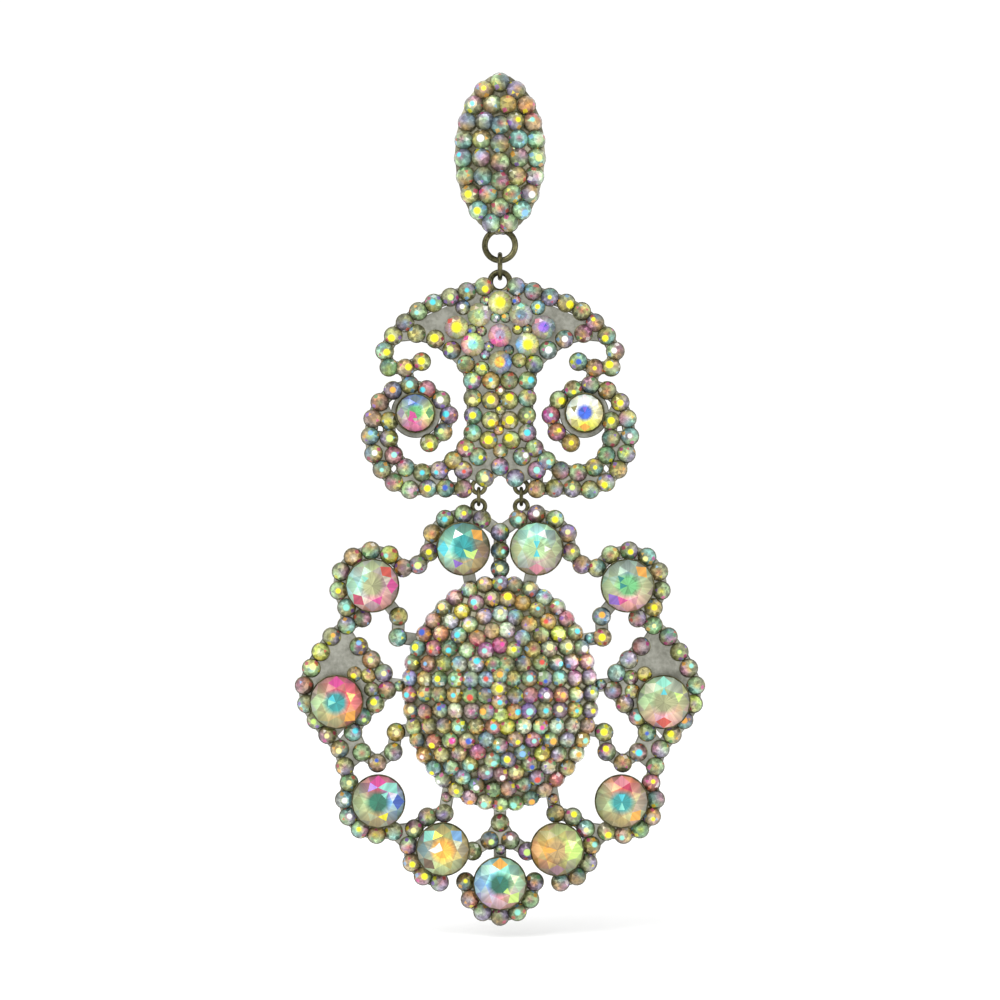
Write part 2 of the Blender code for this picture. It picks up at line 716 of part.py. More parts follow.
def build_dome(parent):
    """A hollow oval dome that sits on the pan."""
    shape = bmesh.new()
    half_w = OVAL_HALF_W - PAN_LIP
    half_h = OVAL_HALF_H - PAN_LIP
    foot_y = -PLATE_T - SEAT_GAP
    outside = [oval_ring(shape, half_w, half_h, foot_y)]
    for share in DOME_LEVELS:
        y = foot_y - DOME_RIM - DOME_RISE * (1 - share * share)
        outside.append(oval_ring(shape, half_w * share, half_h * share, y))
    hollow = []
    for share in HOLLOW_LEVELS:
        inner = share * (1 - DOME_WALL / half_w)
        y = foot_y - DOME_RISE * (1 - share * share)
        hollow.append(oval_ring(shape, half_w * inner, half_h * inner, y))
    for rings in (outside, hollow, [hollow[-1], outside[0]]):
        for lower, upper in zip(rings, rings[1:]):
            join_rings(shape, lower, upper)
    top = shape.verts.new((0, foot_y - DOME_RIM - DOME_RISE, OVAL_Z))
    under = shape.verts.new((0, foot_y - DOME_RISE, OVAL_Z))
    for step in range(DOME_SIDES):
        after = (step + 1) % DOME_SIDES
        shape.faces.new((outside[-1][step], outside[-1][after], top))
        shape.faces.new((hollow[0][after], hollow[0][step], under))
    sub_part("medallion_dome", shape, METAL, parent)


def oval_ring(shape, half_w, half_h, y):
    ring = []
    for step in range(DOME_SIDES):
        angle = math.tau * step / DOME_SIDES
        ring.append(shape.verts.new((half_w * math.cos(angle), y, OVAL_Z + half_h * math.sin(angle))))
    return ring


def join_rings(shape, lower, upper):
    sides = len(lower)
    for step in range(sides):
        after = (step + 1) % sides
        shape.faces.new((lower[step], lower[after], upper[after], upper[step]))


def main():
    clear_scene()
    build_stud()
    build_post()
    link_axis = axis_empty("link_swing_axis", PLATE_MID_Y, LINK_SWING_Z)
    build_link(link_axis)
    drop_axis = axis_empty("drop_sway_axis", PLATE_MID_Y, DROP_SWAY_Z, link_axis)
    build_scroll(drop_axis)
    hinge_axis = axis_empty("medallion_swing_axis", PLATE_MID_Y, HINGE_Z, drop_axis)
    build_joining_rings(hinge_axis)
    build_medallion(hinge_axis)
    build_dome(hinge_axis)


main()
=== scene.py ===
"""Looks of a chandelier earring: iridescent cut stones in dark, worn metal settings.

The front faces -Y. Lengths are millimetres, and MM turns them into metres.
"""
import json
import math
import random

import bmesh
import bpy
from mathutils import Matrix, Vector
from mathutils.geometry import delaunay_2d_cdt

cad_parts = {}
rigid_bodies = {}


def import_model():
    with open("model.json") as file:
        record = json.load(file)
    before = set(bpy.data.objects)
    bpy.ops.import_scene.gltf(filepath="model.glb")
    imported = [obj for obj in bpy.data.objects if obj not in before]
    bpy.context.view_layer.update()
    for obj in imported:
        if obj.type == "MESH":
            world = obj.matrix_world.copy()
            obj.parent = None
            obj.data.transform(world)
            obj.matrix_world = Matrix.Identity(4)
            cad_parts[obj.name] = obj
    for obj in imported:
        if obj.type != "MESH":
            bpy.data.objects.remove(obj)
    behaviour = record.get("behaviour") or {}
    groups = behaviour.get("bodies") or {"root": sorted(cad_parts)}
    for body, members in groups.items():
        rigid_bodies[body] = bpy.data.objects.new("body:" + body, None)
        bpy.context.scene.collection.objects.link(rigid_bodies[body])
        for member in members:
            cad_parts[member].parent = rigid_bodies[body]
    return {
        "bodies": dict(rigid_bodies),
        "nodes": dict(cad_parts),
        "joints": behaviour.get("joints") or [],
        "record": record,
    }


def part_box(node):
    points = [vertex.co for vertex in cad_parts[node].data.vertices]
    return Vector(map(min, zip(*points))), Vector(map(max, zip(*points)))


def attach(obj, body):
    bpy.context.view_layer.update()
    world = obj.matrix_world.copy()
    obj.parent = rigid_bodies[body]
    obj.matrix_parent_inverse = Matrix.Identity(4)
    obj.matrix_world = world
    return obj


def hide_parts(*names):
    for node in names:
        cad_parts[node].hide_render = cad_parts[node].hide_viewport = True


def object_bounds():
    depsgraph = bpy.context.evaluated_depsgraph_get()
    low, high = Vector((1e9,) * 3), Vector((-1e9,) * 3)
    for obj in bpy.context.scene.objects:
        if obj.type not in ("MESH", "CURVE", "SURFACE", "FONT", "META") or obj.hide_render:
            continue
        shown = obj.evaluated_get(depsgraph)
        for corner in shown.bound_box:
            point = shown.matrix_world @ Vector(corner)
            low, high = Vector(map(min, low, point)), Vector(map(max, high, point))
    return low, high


MM = 0.001

# Places shared with the solids
WIRE_Y = -0.45
PLATE_FRONT = -0.9
STUD_RING = {"z": -10.685, "r": 1.78, "wire_d": 0.72}
TOP_LINK = {"z": -13.155, "r": 1.40, "wire_d": 0.58}
TOP_LOOP = {"z": -14.995, "r": 1.15, "wire_d": 0.72}
HINGE_Z = -39.795
LOOP_X = 2.5
SMALL_LOOP = {"r": 0.75, "wire_d": 0.53}
JOINING_RING = {"r": 0.95, "wire_d": 0.44, "spread": 0.40}
OVAL = {"z": -63.2966, "half_w": 11.2, "half_h": 13.5, "foot": 0.96, "rim": 0.4, "rise": 3.0}

# Small stones
SMALL_TABLE_HEIGHT = 0.75      # of the solid's small stones above their plate
SMALL_TABLE_AREA = (0.70, 0.82)   # square millimetres, unlike any other flat face
MERGE_M = 2e-6
FACES_FRONT = -0.5             # the most that a front face's normal has along Y
SAME_PLANE = 0.9998            # two faces whose normals agree this well
FIELD_PITCH = 1.84
FIELD_INSET = 0.62             # of the outermost oval of stones, so they hide the dome's rim
FIELD_OVALS = 7
FIELD_GEM_R = 1.0
FIELD_JITTER = 0.09            # hand-set stones stray this far
FIELD_STEPS = 720              # a fine walk round each oval, to space its stones evenly
FIELD_SEED = 5
GROUP_SEEDS = 1000             # so many seeds lie between two groups of stones
GEM_R = 1.04
STUD_GEM_R = 1.14
FILLER_STEP = 0.2
FILLER_R = 0.86
FINE_FILLER_R = 0.60
FILLER_OVERLAP = 0.16
BRIDGE_STRAY = 0.16            # a bar's stones stay this near its middle line
FILLER_REACH_X = 4.9           # the arch's ends stay bare
DIAMOND_BARE_ABOVE = 2.6
STONE_TILT_DEG = 5.0

# The cut of the small stones, (radius, height) on a stone of 2 units across
GIRDLE_SIDES = 16
SECTORS = 8
SECTOR_FACETS = 5
SMALL_FACETS = GIRDLE_SIDES + SECTORS * SECTOR_FACETS + 1
SMALL_CUT = {"foot": (0.94, -0.12), "girdle": (1.0, 0.20), "shoulder": (0.80, 0.56), "table": (0.54, 0.82)}
SMALL_CUP = ((1.11, -0.3), (1.12, 0.03), (1.08, 0.05), (1.07, 0.16), (1.02, 0.18), (0.96, -0.1))
SMALL_CUP_SIDES = 20
STONE_STEP = 1.7               # sets each stone's streaks apart from its neighbour's

# The cut of the large stones, in shares of the radius, the crown's height and the diameter
LARGE_CUT = {
    "foot": 0.15, "girdle": 0.985, "shoulder": 0.79, "shoulder_height": 0.52, "table": 0.55, "star": 0.32,
    "band": 0.02,
}
CROWN_SHARE = 0.18             # of the diameter, from girdle to table
LARGE_SHARE = {"scroll_stone": 1.07, "petal_stone": 1.03, "scroll_eye": 1.0}

# Plates under the rows, in millimetres
SEAT_DISC_R = 1.08
TIE_W = 1.5
TIE_REACH = 2.75               # stones nearer than this share one strand of plate
STEM_W = 0.96
SCROLL = {"top_z": -14.995, "half_w": 15.2, "drop": 25.2}
FIELD_OUTLINE = ((0.000, 0.040), (0.130, 0.050), (0.340, 0.095), (0.600, 0.165), (0.760, 0.240),
                 (0.640, 0.250), (0.500, 0.280), (0.370, 0.330), (0.270, 0.390), (0.235, 0.460),
                 (0.235, 0.720), (0.300, 0.800), (0.280, 0.870), (0.130, 0.905), (0.000, 0.865))
EYE_AT = (0.651, 0.612)
FOOT_AT = (0.118, 0.914)
DIAMOND_OUTLINE = ((1.565, 0.600), (1.970, 0.087), (1.700, -0.400), (1.160, 0.080))
BRIDGES = (
    ((0.0, 1.06), (0.0, 0.9)), ((1.043, 0.478), (0.82, 0.45)), ((1.061, -0.33), (0.85, -0.30)),
    ((1.140, 0.080), (0.95, 0.06)), ((0.0, -1.10), (0.0, -0.95)), ((0.0, -1.20), (0.0, -1.601)),
    ((0.372, 1.232), (0.30, 0.93)), ((0.57, -1.03), (0.52, -0.80)), ((1.296, 0.920), (1.035, 0.655)),
)
CREST_AT = (0.372, 1.232)      # where the medallion's loops hang on
SHARE_HALF_W = 11.5
SHARE_HALF_H = 13.8
PAN_LIP = 0.05
PAN_W = 2.4
CUP_DISC_R = 2.9
CUP_DISC_SIDES = 40
LOOP_OVERLAP = 0.2             # a plate's stem reaches this far into its loop
TOP_STEM = {"foot": (0.0, 0.12), "w": 1.7}
EDGE_EASE = 0.10
CUT_TOLERANCE = 1e-3
BIG_CUP = {
    "wall": 0.17, "foot_share": 0.36, "foot_y": -0.3, "foot_top": 0.12, "flare": 0.26, "lip": 0.10,
    "ease": 0.06, "inner": 0.10, "seat": 0.3,
}

# Colours as seen on the stones and the metal
PALETTE = {
    "lilac grey": (0.56, 0.52, 0.62),
    "pale green": (0.58, 0.69, 0.50),
    "aqua grey": (0.46, 0.64, 0.60),
    "mauve": (0.62, 0.46, 0.52),
    "olive": (0.49, 0.49, 0.28),
    "olive grey": (0.55, 0.56, 0.41),
    "straw": (0.72, 0.70, 0.40),
    "slate": (0.38, 0.46, 0.50),
    "sky": (0.48, 0.70, 0.92),
    "pale yellow": (0.93, 0.92, 0.58),
    "yellow": (0.96, 0.92, 0.10),
    "lime": (0.80, 0.95, 0.48),
    "cyan": (0.30, 0.80, 0.86),
    "aqua": (0.55, 0.88, 0.80),
    "teal": (0.14, 0.50, 0.50),
    "green": (0.36, 0.62, 0.40),
    "deep green": (0.10, 0.36, 0.28),
    "magenta": (0.84, 0.26, 0.58),
    "pink": (0.86, 0.54, 0.60),
    "violet": (0.52, 0.36, 0.78),
    "blue": (0.20, 0.34, 0.72),
    "orange": (0.95, 0.66, 0.24),
    "tan": (0.62, 0.52, 0.34),
    "red": (0.82, 0.30, 0.24),
    "crimson": (0.72, 0.20, 0.34),
    "brown": (0.42, 0.32, 0.24),
    "white": (0.96, 0.96, 0.94),
}
BODY_SHARES = {
    "olive grey": 0.20, "lilac grey": 0.13, "pale green": 0.18, "aqua grey": 0.12, "tan": 0.10,
    "mauve": 0.08, "olive": 0.08, "straw": 0.07, "slate": 0.05,
}
FLASH_SHARES = {
    "orange": 0.16, "magenta": 0.12, "red": 0.12, "violet": 0.12, "green": 0.12, "sky": 0.10,
    "yellow": 0.10, "white": 0.08, "crimson": 0.08,
}
# The small stones' bright spots take these colours; each bright spot is a painted highlight
PAINTED_HIGHLIGHT_SHARES = {
    "yellow": 0.24, "pale yellow": 0.16, "cyan": 0.12, "aqua": 0.14, "white": 0.08,
    "lime": 0.06, "orange": 0.08, "sky": 0.05, "blue": 0.04, "red": 0.03,
}
OVAL_PAINTED_HIGHLIGHTS = {
    "cyan": 0.16, "aqua": 0.18, "yellow": 0.13, "pale yellow": 0.12, "orange": 0.10, "red": 0.08,
    "blue": 0.07, "white": 0.05, "magenta": 0.05, "lime": 0.03, "sky": 0.03,
}
COLUMN = {"half_w": 2.4, "top": 12.0, "bottom": 19.5, "yellow": 0.8}
METALS = {
    "antique_metal": {
        "dark": (0.16, 0.155, 0.10), "light": (0.42, 0.405, 0.29), "rough": (0.26, 0.5), "bump": 0.35},
    "plate_metal": {
        "dark": (0.46, 0.46, 0.42), "light": (0.62, 0.62, 0.58), "rough": (0.28, 0.42), "bump": 0.15},
    # The stud frame's and dome's metal, made darker as painted shade for the gaps between their stones
    "painted_shade_base_metal": {
        "dark": (0.28, 0.275, 0.225), "light": (0.49, 0.48, 0.41), "rough": (0.28, 0.46), "bump": 0.25},
    "post_metal": {
        "dark": (0.55, 0.55, 0.54), "light": (0.72, 0.72, 0.70), "rough": (0.18, 0.34), "bump": 0.15},
}
TARNISH = {
    "patches": 420.0, "flecks": 2600.0, "patch_share": 0.65, "fleck_share": 0.35, "stops": (0.36, 0.62),
}
HAMMER_M = 0.00006             # how deep the hammered skin looks
COAT = {"Coat_Weight": 0.35, "Coat_Roughness": 0.05}
DUST = {"scale": 1500.0, "clean": 0.07, "dusty": 0.16}
# The bright spot is a painted highlight on the small stones
PAINTED_HIGHLIGHT_EDGE = (-0.14, 0.08)      # a bright spot fades out between these, from its radius
LIGHTS = {
    "key_light": {"offset": (-0.25, -0.35, 0.35), "size": 0.45, "power": 1.8},
    "fill_light": {"offset": (0.35, -0.30, 0.05), "size": 0.20, "power": 0.5},
}
SKY_LIGHT = 1.06
FLOOR = {"r": 9000.0, "gap": 1.5, "cloud": 6.0, "tones": ((0.96,) * 3, (0.99,) * 3)}
FRAME_SHARE = 0.86             # of the picture's height that the earring takes


def column_is_yellow(place, chance):
    """Most stones of the scroll's column show a yellow spot, painted as a highlight."""
    below_top = SCROLL["top_z"] - place.z
    in_column = abs(place.x) < COLUMN["half_w"] and COLUMN["top"] < below_top < COLUMN["bottom"]
    return in_column and chance.random() < COLUMN["yellow"]


# Spots, yellow and tinted are shares of the stones that show a bright spot painted as a highlight, a yellow
# one or a tint
STUD_LOOK = {"spots": 0.45, "colours": PAINTED_HIGHLIGHT_SHARES, "yellow": 0.05, "tinted": 0.2}
SCROLL_LOOK = {
    "spots": 0.55, "colours": PAINTED_HIGHLIGHT_SHARES, "yellow": 0.14, "yellow_in": column_is_yellow, "tinted": 0.2,
}
PETAL_LOOK = {"spots": 0.50, "colours": PAINTED_HIGHLIGHT_SHARES, "yellow": 0.08, "tinted": 0.25}
OVAL_LOOK = {"spots": 0.58, "colours": OVAL_PAINTED_HIGHLIGHTS, "yellow": 0.03, "tinted": 0.5}
# One small stone: ranges of tones and of the bright spots painted as highlights, choices for the spot's place
# and the flashes, and shares
SMALL_STONE = {
    "tone": (0.80, 1.16), "tint": 0.35, "painted_highlight_r": (0.24, 0.42), "yellow_painted_highlight_r": (0.36, 0.50),
    "painted_highlight_far": (0.0, 0.0, 0.15, 0.3, 0.4), "flash_counts": (2, 3, 3, 4, 5), "flash_parts": (0, 0, 1, 2, 3),
    # edge darkens the girdle band and foot to this share: painted shade at the stone's rim
    "inner_share": (0.1, 0.6), "facet_tone": (0.78, 1.2), "edge": 0.40, "flash": 0.66,
}
# edge darkens the large stones' back and girdle: painted shade at the rim
LARGE_STONE = {"tone": (0.84, 1.10), "edge": 0.5, "own": 0.35, "under_flash": 0.12, "bright": 1.16}

# Large stones: the colours of the middle and of the crown's top, right, bottom and left, then
# the facets that flash. A flash is a ring of facets, a sector from 0 at the right, counted
# anticlockwise up to 7, and a colour.
STONE_CHART = {
    "petal_stone_1": (
        "pale green, aqua, olive grey, mauve, pale green",
        "core 2 cyan, inner 2 aqua, core 6 cyan, kite 6 pink, star 1 white, inner 0 white"),
    "petal_stone_2": (
        "teal, teal, brown, tan, aqua",
        "inner 7 lime, table 7 lime, core 7 lime, kite 1 orange, star 2 white, star 5 violet, kite 4 cyan"),
    "petal_stone_3": (
        "green, slate, olive grey, pink, pale green",
        "kite 1 orange, inner 3 teal, core 4 teal, kite 5 violet, star 5 magenta"),
    "petal_stone_4": (
        "olive grey, olive grey, mauve, pink, aqua",
        "kite 1 red, kite 0 magenta, star 6 magenta, inner 3 aqua, kite 5 crimson"),
    "petal_stone_5": (
        "olive grey, pale green, olive grey, pink, pale green",
        "inner 2 cyan, kite 2 aqua, kite 6 red, star 0 lime"),
    "petal_stone_6": (
        "teal, crimson, red, tan, pale green",
        "core 4 aqua, core 3 cyan, kite 2 magenta, star 0 orange, kite 7 orange"),
    "petal_stone_7": (
        "teal, red, olive grey, tan, pale green",
        "core 2 cyan, core 6 aqua, kite 2 pink, star 1 crimson, kite 7 orange"),
    "petal_stone_8": (
        "deep green, crimson, sky, tan, pale green",
        "kite 1 aqua, star 1 aqua, inner 1 aqua, kite 0 blue, kite 2 magenta, star 6 yellow, star 2 violet"),
    "petal_stone_9": (
        "tan, olive, lime, brown, orange",
        "kite 0 lime, inner 0 lime, star 0 lime, table 0 lime, star 7 lime, core 4 orange, inner 4 orange, "
        "kite 6 mauve"),
    "petal_stone_10": (
        "orange, olive, tan, straw, slate",
        "core 4 white, core 3 white, inner 4 white, kite 3 aqua, kite 1 sky, star 2 yellow, kite 5 brown"),
    "petal_stone_11": (
        "deep green, aqua, pale green, pink, sky",
        "kite 7 lime, inner 7 lime, star 1 aqua, kite 2 orange, core 2 teal"),
    "scroll_eye_stone_left": (
        "green, blue, lime, magenta, olive grey",
        "kite 0 green, inner 5 magenta, core 5 magenta, core 6 magenta, core 4 magenta, table 5 magenta, "
        "kite 2 slate, kite 4 lilac grey"),
    # Its white top and left paint the white sparkle round this stone: a painted highlight
    "scroll_eye_stone_right": (
        "blue, white, pale yellow, yellow, white",
        "core 2 violet, kite 6 orange, kite 1 white, star 3 olive, kite 5 straw"),
    "scroll_stone_1": (
        "yellow, straw, olive, straw, pale yellow",
        ""),
    "scroll_stone_2": (
        "slate, pale green, lilac grey, mauve, olive grey",
        "kite 2 aqua, core 5 sky"),
    "scroll_stone_3": (
        "pale green, olive grey, lilac grey, straw, olive",
        "kite 1 white, core 2 lime"),
    "scroll_stone_4": (
        "violet, lilac grey, slate, olive grey, mauve",
        "core 1 blue, kite 3 pink"),
    "scroll_stone_5": (
        "yellow, tan, straw, olive, mauve",
        "kite 3 red"),
    "scroll_stone_6": (
        "lilac grey, mauve, olive grey, magenta, pink",
        "core 6 crimson, kite 5 magenta"),
    "scroll_stone_7": (
        "yellow, pale yellow, straw, olive, sky",
        "kite 4 sky"),
    "scroll_stone_8": (
        "aqua, lime, pale green, tan, pink",
        "kite 3 magenta, core 1 sky"),
    "scroll_stone_9": (
        "orange, olive, blue, slate, olive grey",
        "kite 0 sky, core 7 yellow"),
}


def linear(colour):
    """A colour as the eye reads it, turned into the amounts of light that shaders take."""
    return tuple(c / 12.92 if c <= 0.04045 else ((c + 0.055) / 1.055) ** 2.4 for c in colour)


def blend_colours(first, second, share):
    return tuple(a + (b - a) * share for a, b in zip(first, second))


def scaled(colour, factor):
    return tuple(max(0.0, min(1.0, c * factor)) for c in colour)


class Sum:
    """A shader value that takes part in sums, each of which adds its own Math node."""

    def __init__(self, finish, socket):
        self.finish = finish
        self.socket = socket

    def step(self, operation, first, second):
        return self.finish.node("ShaderNodeMath", {"operation": operation}, {0: first, 1: second})

    def __add__(self, other):
        return self.step("ADD", self, other)

    def __radd__(self, other):
        return self.step("ADD", other, self)

    def __sub__(self, other):
        return self.step("SUBTRACT", self, other)

    def __rsub__(self, other):
        return self.step("SUBTRACT", other, self)

    def __mul__(self, other):
        return self.step("MULTIPLY", self, other)

    def __rmul__(self, other):
        return self.step("MULTIPLY", other, self)


class Finish:
    """A material whose nodes are added one call at a time."""

    def __init__(self, name):
        self.material = bpy.data.materials.new(name)
        self.material.use_nodes = True
        self.tree = self.material.node_tree
        self.shader = self.tree.nodes["Principled BSDF"]

    def node(self, kind, settings, inputs, output=0):
        made = self.tree.nodes.new(kind)
        for key, value in settings.items():
            if key == "stops":
                for element, (at, colour) in zip(made.color_ramp.elements, value):
                    element.position = at
                    element.color = (*colour, 1.0)
            else:
                setattr(made, key, value)
        for key, value in inputs.items():
            self.feed(made.inputs[key], value)
        return Sum(self, made.outputs[output])

    def feed(self, socket, value):
        if isinstance(value, Sum):
            self.tree.links.new(value.socket, socket)
        else:
            socket.default_value = value

    def mix(self, kind, factor, first, second):
        settings = {"data_type": "RGBA", "blend_type": kind}
        return self.node("ShaderNodeMix", settings, {0: factor, 6: first, 7: second}, 2)

    def grain(self, scale, detail=3.0, roughness=0.55):
        place = self.node("ShaderNodeTexCoord", {}, {}, "Object")
        inputs = {"Vector": place, "Scale": scale, "Detail": detail, "Roughness": roughness}
        return self.node("ShaderNodeTexNoise", {}, inputs, "Fac")

    def surface(self, **values):
        for key, value in values.items():
            self.feed(self.shader.inputs[key.replace("_", " ")], value)


def metal_finish(name):
    """Antiqued metal: tarnish in broad patches, fine wear on top and a hammered skin."""
    look = METALS[name]
    smooth, rough = look["rough"]
    finish = Finish(name)
    patches = finish.grain(TARNISH["patches"])
    flecks = finish.grain(TARNISH["flecks"], 2.0)
    tone = patches * TARNISH["patch_share"] + flecks * TARNISH["fleck_share"]
    tones = (linear(look["dark"]), linear(look["light"]))
    colour = finish.node("ShaderNodeValToRGB", {"stops": zip(TARNISH["stops"], tones)}, {"Fac": tone})
    skin = finish.node(
        "ShaderNodeBump", {}, {"Strength": look["bump"], "Distance": HAMMER_M, "Height": flecks}
    )
    finish.surface(Base_Color=colour, Metallic=1.0, Roughness=rough - tone * (rough - smooth), Normal=skin)
    return finish.material


def stone_finish(name, foil, streak_dark, streak_fine):
    """Coated crystal over foil: facet colours, a soft bright spot painted as a highlight, streaks from the
    middle, dust.
    """
    finish = Finish(name)
    facet = finish.node("ShaderNodeAttribute", {"attribute_name": "facet"}, {}, "Color")
    seat = finish.node("ShaderNodeAttribute", {"attribute_name": "seat"}, {}, "Vector")
    # The bright spot's colour and radius: a painted highlight on each stone
    spot = finish.node("ShaderNodeAttribute", {"attribute_name": "spot"}, {}, "Color")
    painted_highlight_r = finish.node("ShaderNodeAttribute", {"attribute_name": "spot"}, {}, "Alpha")
    flat = finish.node("ShaderNodeVectorMath", {"operation": "MULTIPLY"}, {0: seat, 1: (1.0, 1.0, 0.0)})
    number = finish.node("ShaderNodeVectorMath", {"operation": "MULTIPLY"}, {0: seat, 1: (0.0, 0.0, 1.0)})
    reach = finish.node("ShaderNodeVectorMath", {"operation": "LENGTH"}, {0: flat}, "Value")
    way = finish.node("ShaderNodeVectorMath", {"operation": "NORMALIZE"}, {0: flat})
    ray = finish.node(
        "ShaderNodeVectorMath", {"operation": "MULTIPLY_ADD"}, {0: way, 1: (streak_fine,) * 3, 2: number}
    )
    streak = finish.node("ShaderNodeTexNoise", {}, {"Vector": ray, "Scale": 1.0, "Detail": 2.0}, "Fac")
    stops = ((0.38, (streak_dark,) * 3), (0.60, (1.0, 1.0, 1.0)))
    shade = finish.node("ShaderNodeValToRGB", {"stops": stops}, {"Fac": streak})
    dust = finish.grain(DUST["scale"], 2.0)
    colour = finish.mix("MULTIPLY", 1.0, facet, shade)
    glow = finish.node(
        "ShaderNodeMapRange",
        {"interpolation_type": "SMOOTHSTEP"},
        {"Value": reach - painted_highlight_r, "From Min": PAINTED_HIGHLIGHT_EDGE[0], "From Max": PAINTED_HIGHLIGHT_EDGE[1],
         "To Min": 1.0, "To Max": 0.0},
    )
    finish.surface(
        Base_Color=finish.mix("MIX", glow, colour, spot),
        Metallic=foil,
        Roughness=DUST["clean"] + dust * DUST["dusty"],
        **COAT,
    )
    return finish.material


def piece(name, shape_or_mesh, finish):
    """A shown object at the origin, from millimetre shapes or from a mesh that is already in metres."""
    if isinstance(shape_or_mesh, bmesh.types.BMesh):
        bmesh.ops.scale(shape_or_mesh, vec=(MM, MM, MM), verts=shape_or_mesh.verts[:])
        mesh = bpy.data.meshes.new(name)
        shape_or_mesh.to_mesh(mesh)
        shape_or_mesh.free()
    else:
        mesh = shape_or_mesh
        mesh.name = name
    if finish and finish.name not in [m.name for m in mesh.materials if m]:
        mesh.materials.clear()
        mesh.materials.append(finish)
    item = bpy.data.objects.new(name, mesh)
    bpy.context.scene.collection.objects.link(item)
    return item


def pick(chance, shares):
    at = chance.random() * sum(shares.values())
    for name, share in shares.items():
        at -= share
        if at <= 0:
            return PALETTE[name]
    return PALETTE[name]


def facing_front(x, z, y=WIRE_Y):
    return Matrix.Translation((x, y, z)) @ Matrix.Rotation(math.pi / 2, 4, "X")


def add_ring(shape, place, mean_r, wire_d, sides=48, wire_sides=12):
    """A closed ring of round wire about the place's Z axis."""
    rows = []
    for step in range(sides):
        turn = Matrix.Rotation(math.tau * step / sides, 4, "Z")
        row = []
        for corner in range(wire_sides):
            bend = math.tau * corner / wire_sides
            local = Vector((mean_r + wire_d / 2 * math.cos(bend), 0, wire_d / 2 * math.sin(bend)))
            row.append(shape.verts.new(place @ turn @ local))
        rows.append(row)
    for here, there in zip(rows, rows[1:] + rows[:1]):
        for corner in range(wire_sides):
            after = (corner + 1) % wire_sides
            face = shape.faces.new((here[corner], there[corner], there[after], here[after]))
            face.smooth = True


def ring_piece(name, body, finish, rings, *stands_for):
    shape = bmesh.new()
    for place, size in rings:
        add_ring(shape, place, size["r"], size["wire_d"])
    bmesh.ops.recalc_face_normals(shape, faces=shape.faces[:])
    metal_piece(name, body, shape, finish, *stands_for)


def small_gem():
    """A small cut stone of 2 units across whose seat is at height 0: girdle band, crown and table."""
    shape = bmesh.new()
    foot = corner_ring(shape, *SMALL_CUT["foot"], GIRDLE_SIDES)
    girdle = corner_ring(shape, *SMALL_CUT["girdle"], GIRDLE_SIDES)
    shoulder = corner_ring(shape, *SMALL_CUT["shoulder"], SECTORS, 0.5)
    table = corner_ring(shape, *SMALL_CUT["table"], SECTORS)
    middle = shape.verts.new((0, 0, SMALL_CUT["table"][1]))
    for i in range(GIRDLE_SIDES):
        j = (i + 1) % GIRDLE_SIDES
        shape.faces.new((foot[i], foot[j], girdle[j], girdle[i]))
    for i in range(SECTORS):
        j = (i + 1) % SECTORS
        shape.faces.new((table[i], shoulder[i - 1], girdle[2 * i], shoulder[i]))
        shape.faces.new((table[i], shoulder[i], table[j]))
        shape.faces.new((shoulder[i], girdle[2 * i], girdle[2 * i + 1]))
        shape.faces.new((shoulder[i], girdle[2 * i + 1], girdle[2 * j]))
        shape.faces.new((middle, table[i], table[j]))
    shape.faces.new(foot[::-1])
    return shape


def corner_ring(shape, radius, height, sides, shift=0.0, place=Matrix()):
    """New corners at equal steps about the place's Z axis."""
    angles = [math.tau * (i + shift) / sides for i in range(sides)]
    spots = [Vector((radius * math.cos(angle), radius * math.sin(angle), height)) for angle in angles]
    return [shape.verts.new(place @ spot) for spot in spots]


def small_cup():
    """The thin metal cup round a small stone."""
    shape = bmesh.new()
    add_turned(shape, Matrix(), SMALL_CUP, SMALL_CUP_SIDES, False)
    return shape


def seats_of(node):
    """Where the solid's small stones stand: (place on the plate, outward direction, turn mark)."""
    shape = bmesh.new()
    shape.from_mesh(node.data)
    bmesh.ops.remove_doubles(shape, verts=shape.verts[:], dist=MERGE_M)
    shape.faces.ensure_lookup_table()
    seen = set()
    found = []
    for face in shape.faces:
        if face.index in seen or face.normal.y > FACES_FRONT:
            continue
        seen.add(face.index)
        patch = [face]
        edge = [face]
        while edge:
            here = edge.pop()
            for side in here.edges:
                for near in side.link_faces:
                    if near.index not in seen and near.normal.dot(face.normal) > SAME_PLANE:
                        seen.add(near.index)
                        patch.append(near)
                        edge.append(near)
        area = sum(f.calc_area() for f in patch) / MM ** 2
        if SMALL_TABLE_AREA[0] < area < SMALL_TABLE_AREA[1]:
            corners = {v.index: v.co / MM for f in patch for v in f.verts}
            corners = [corners[index] for index in sorted(corners)]
            centre = sum(corners, Vector()) / len(corners)
            seat = Vector([round(value, 3) for value in centre - face.normal * SMALL_TABLE_HEIGHT])
            found.append((seat, face.normal.copy(), corners[0] - centre))
    shape.free()
    return sorted(found, key=lambda seat: (round(seat[0].z, 2), seat[0].x))


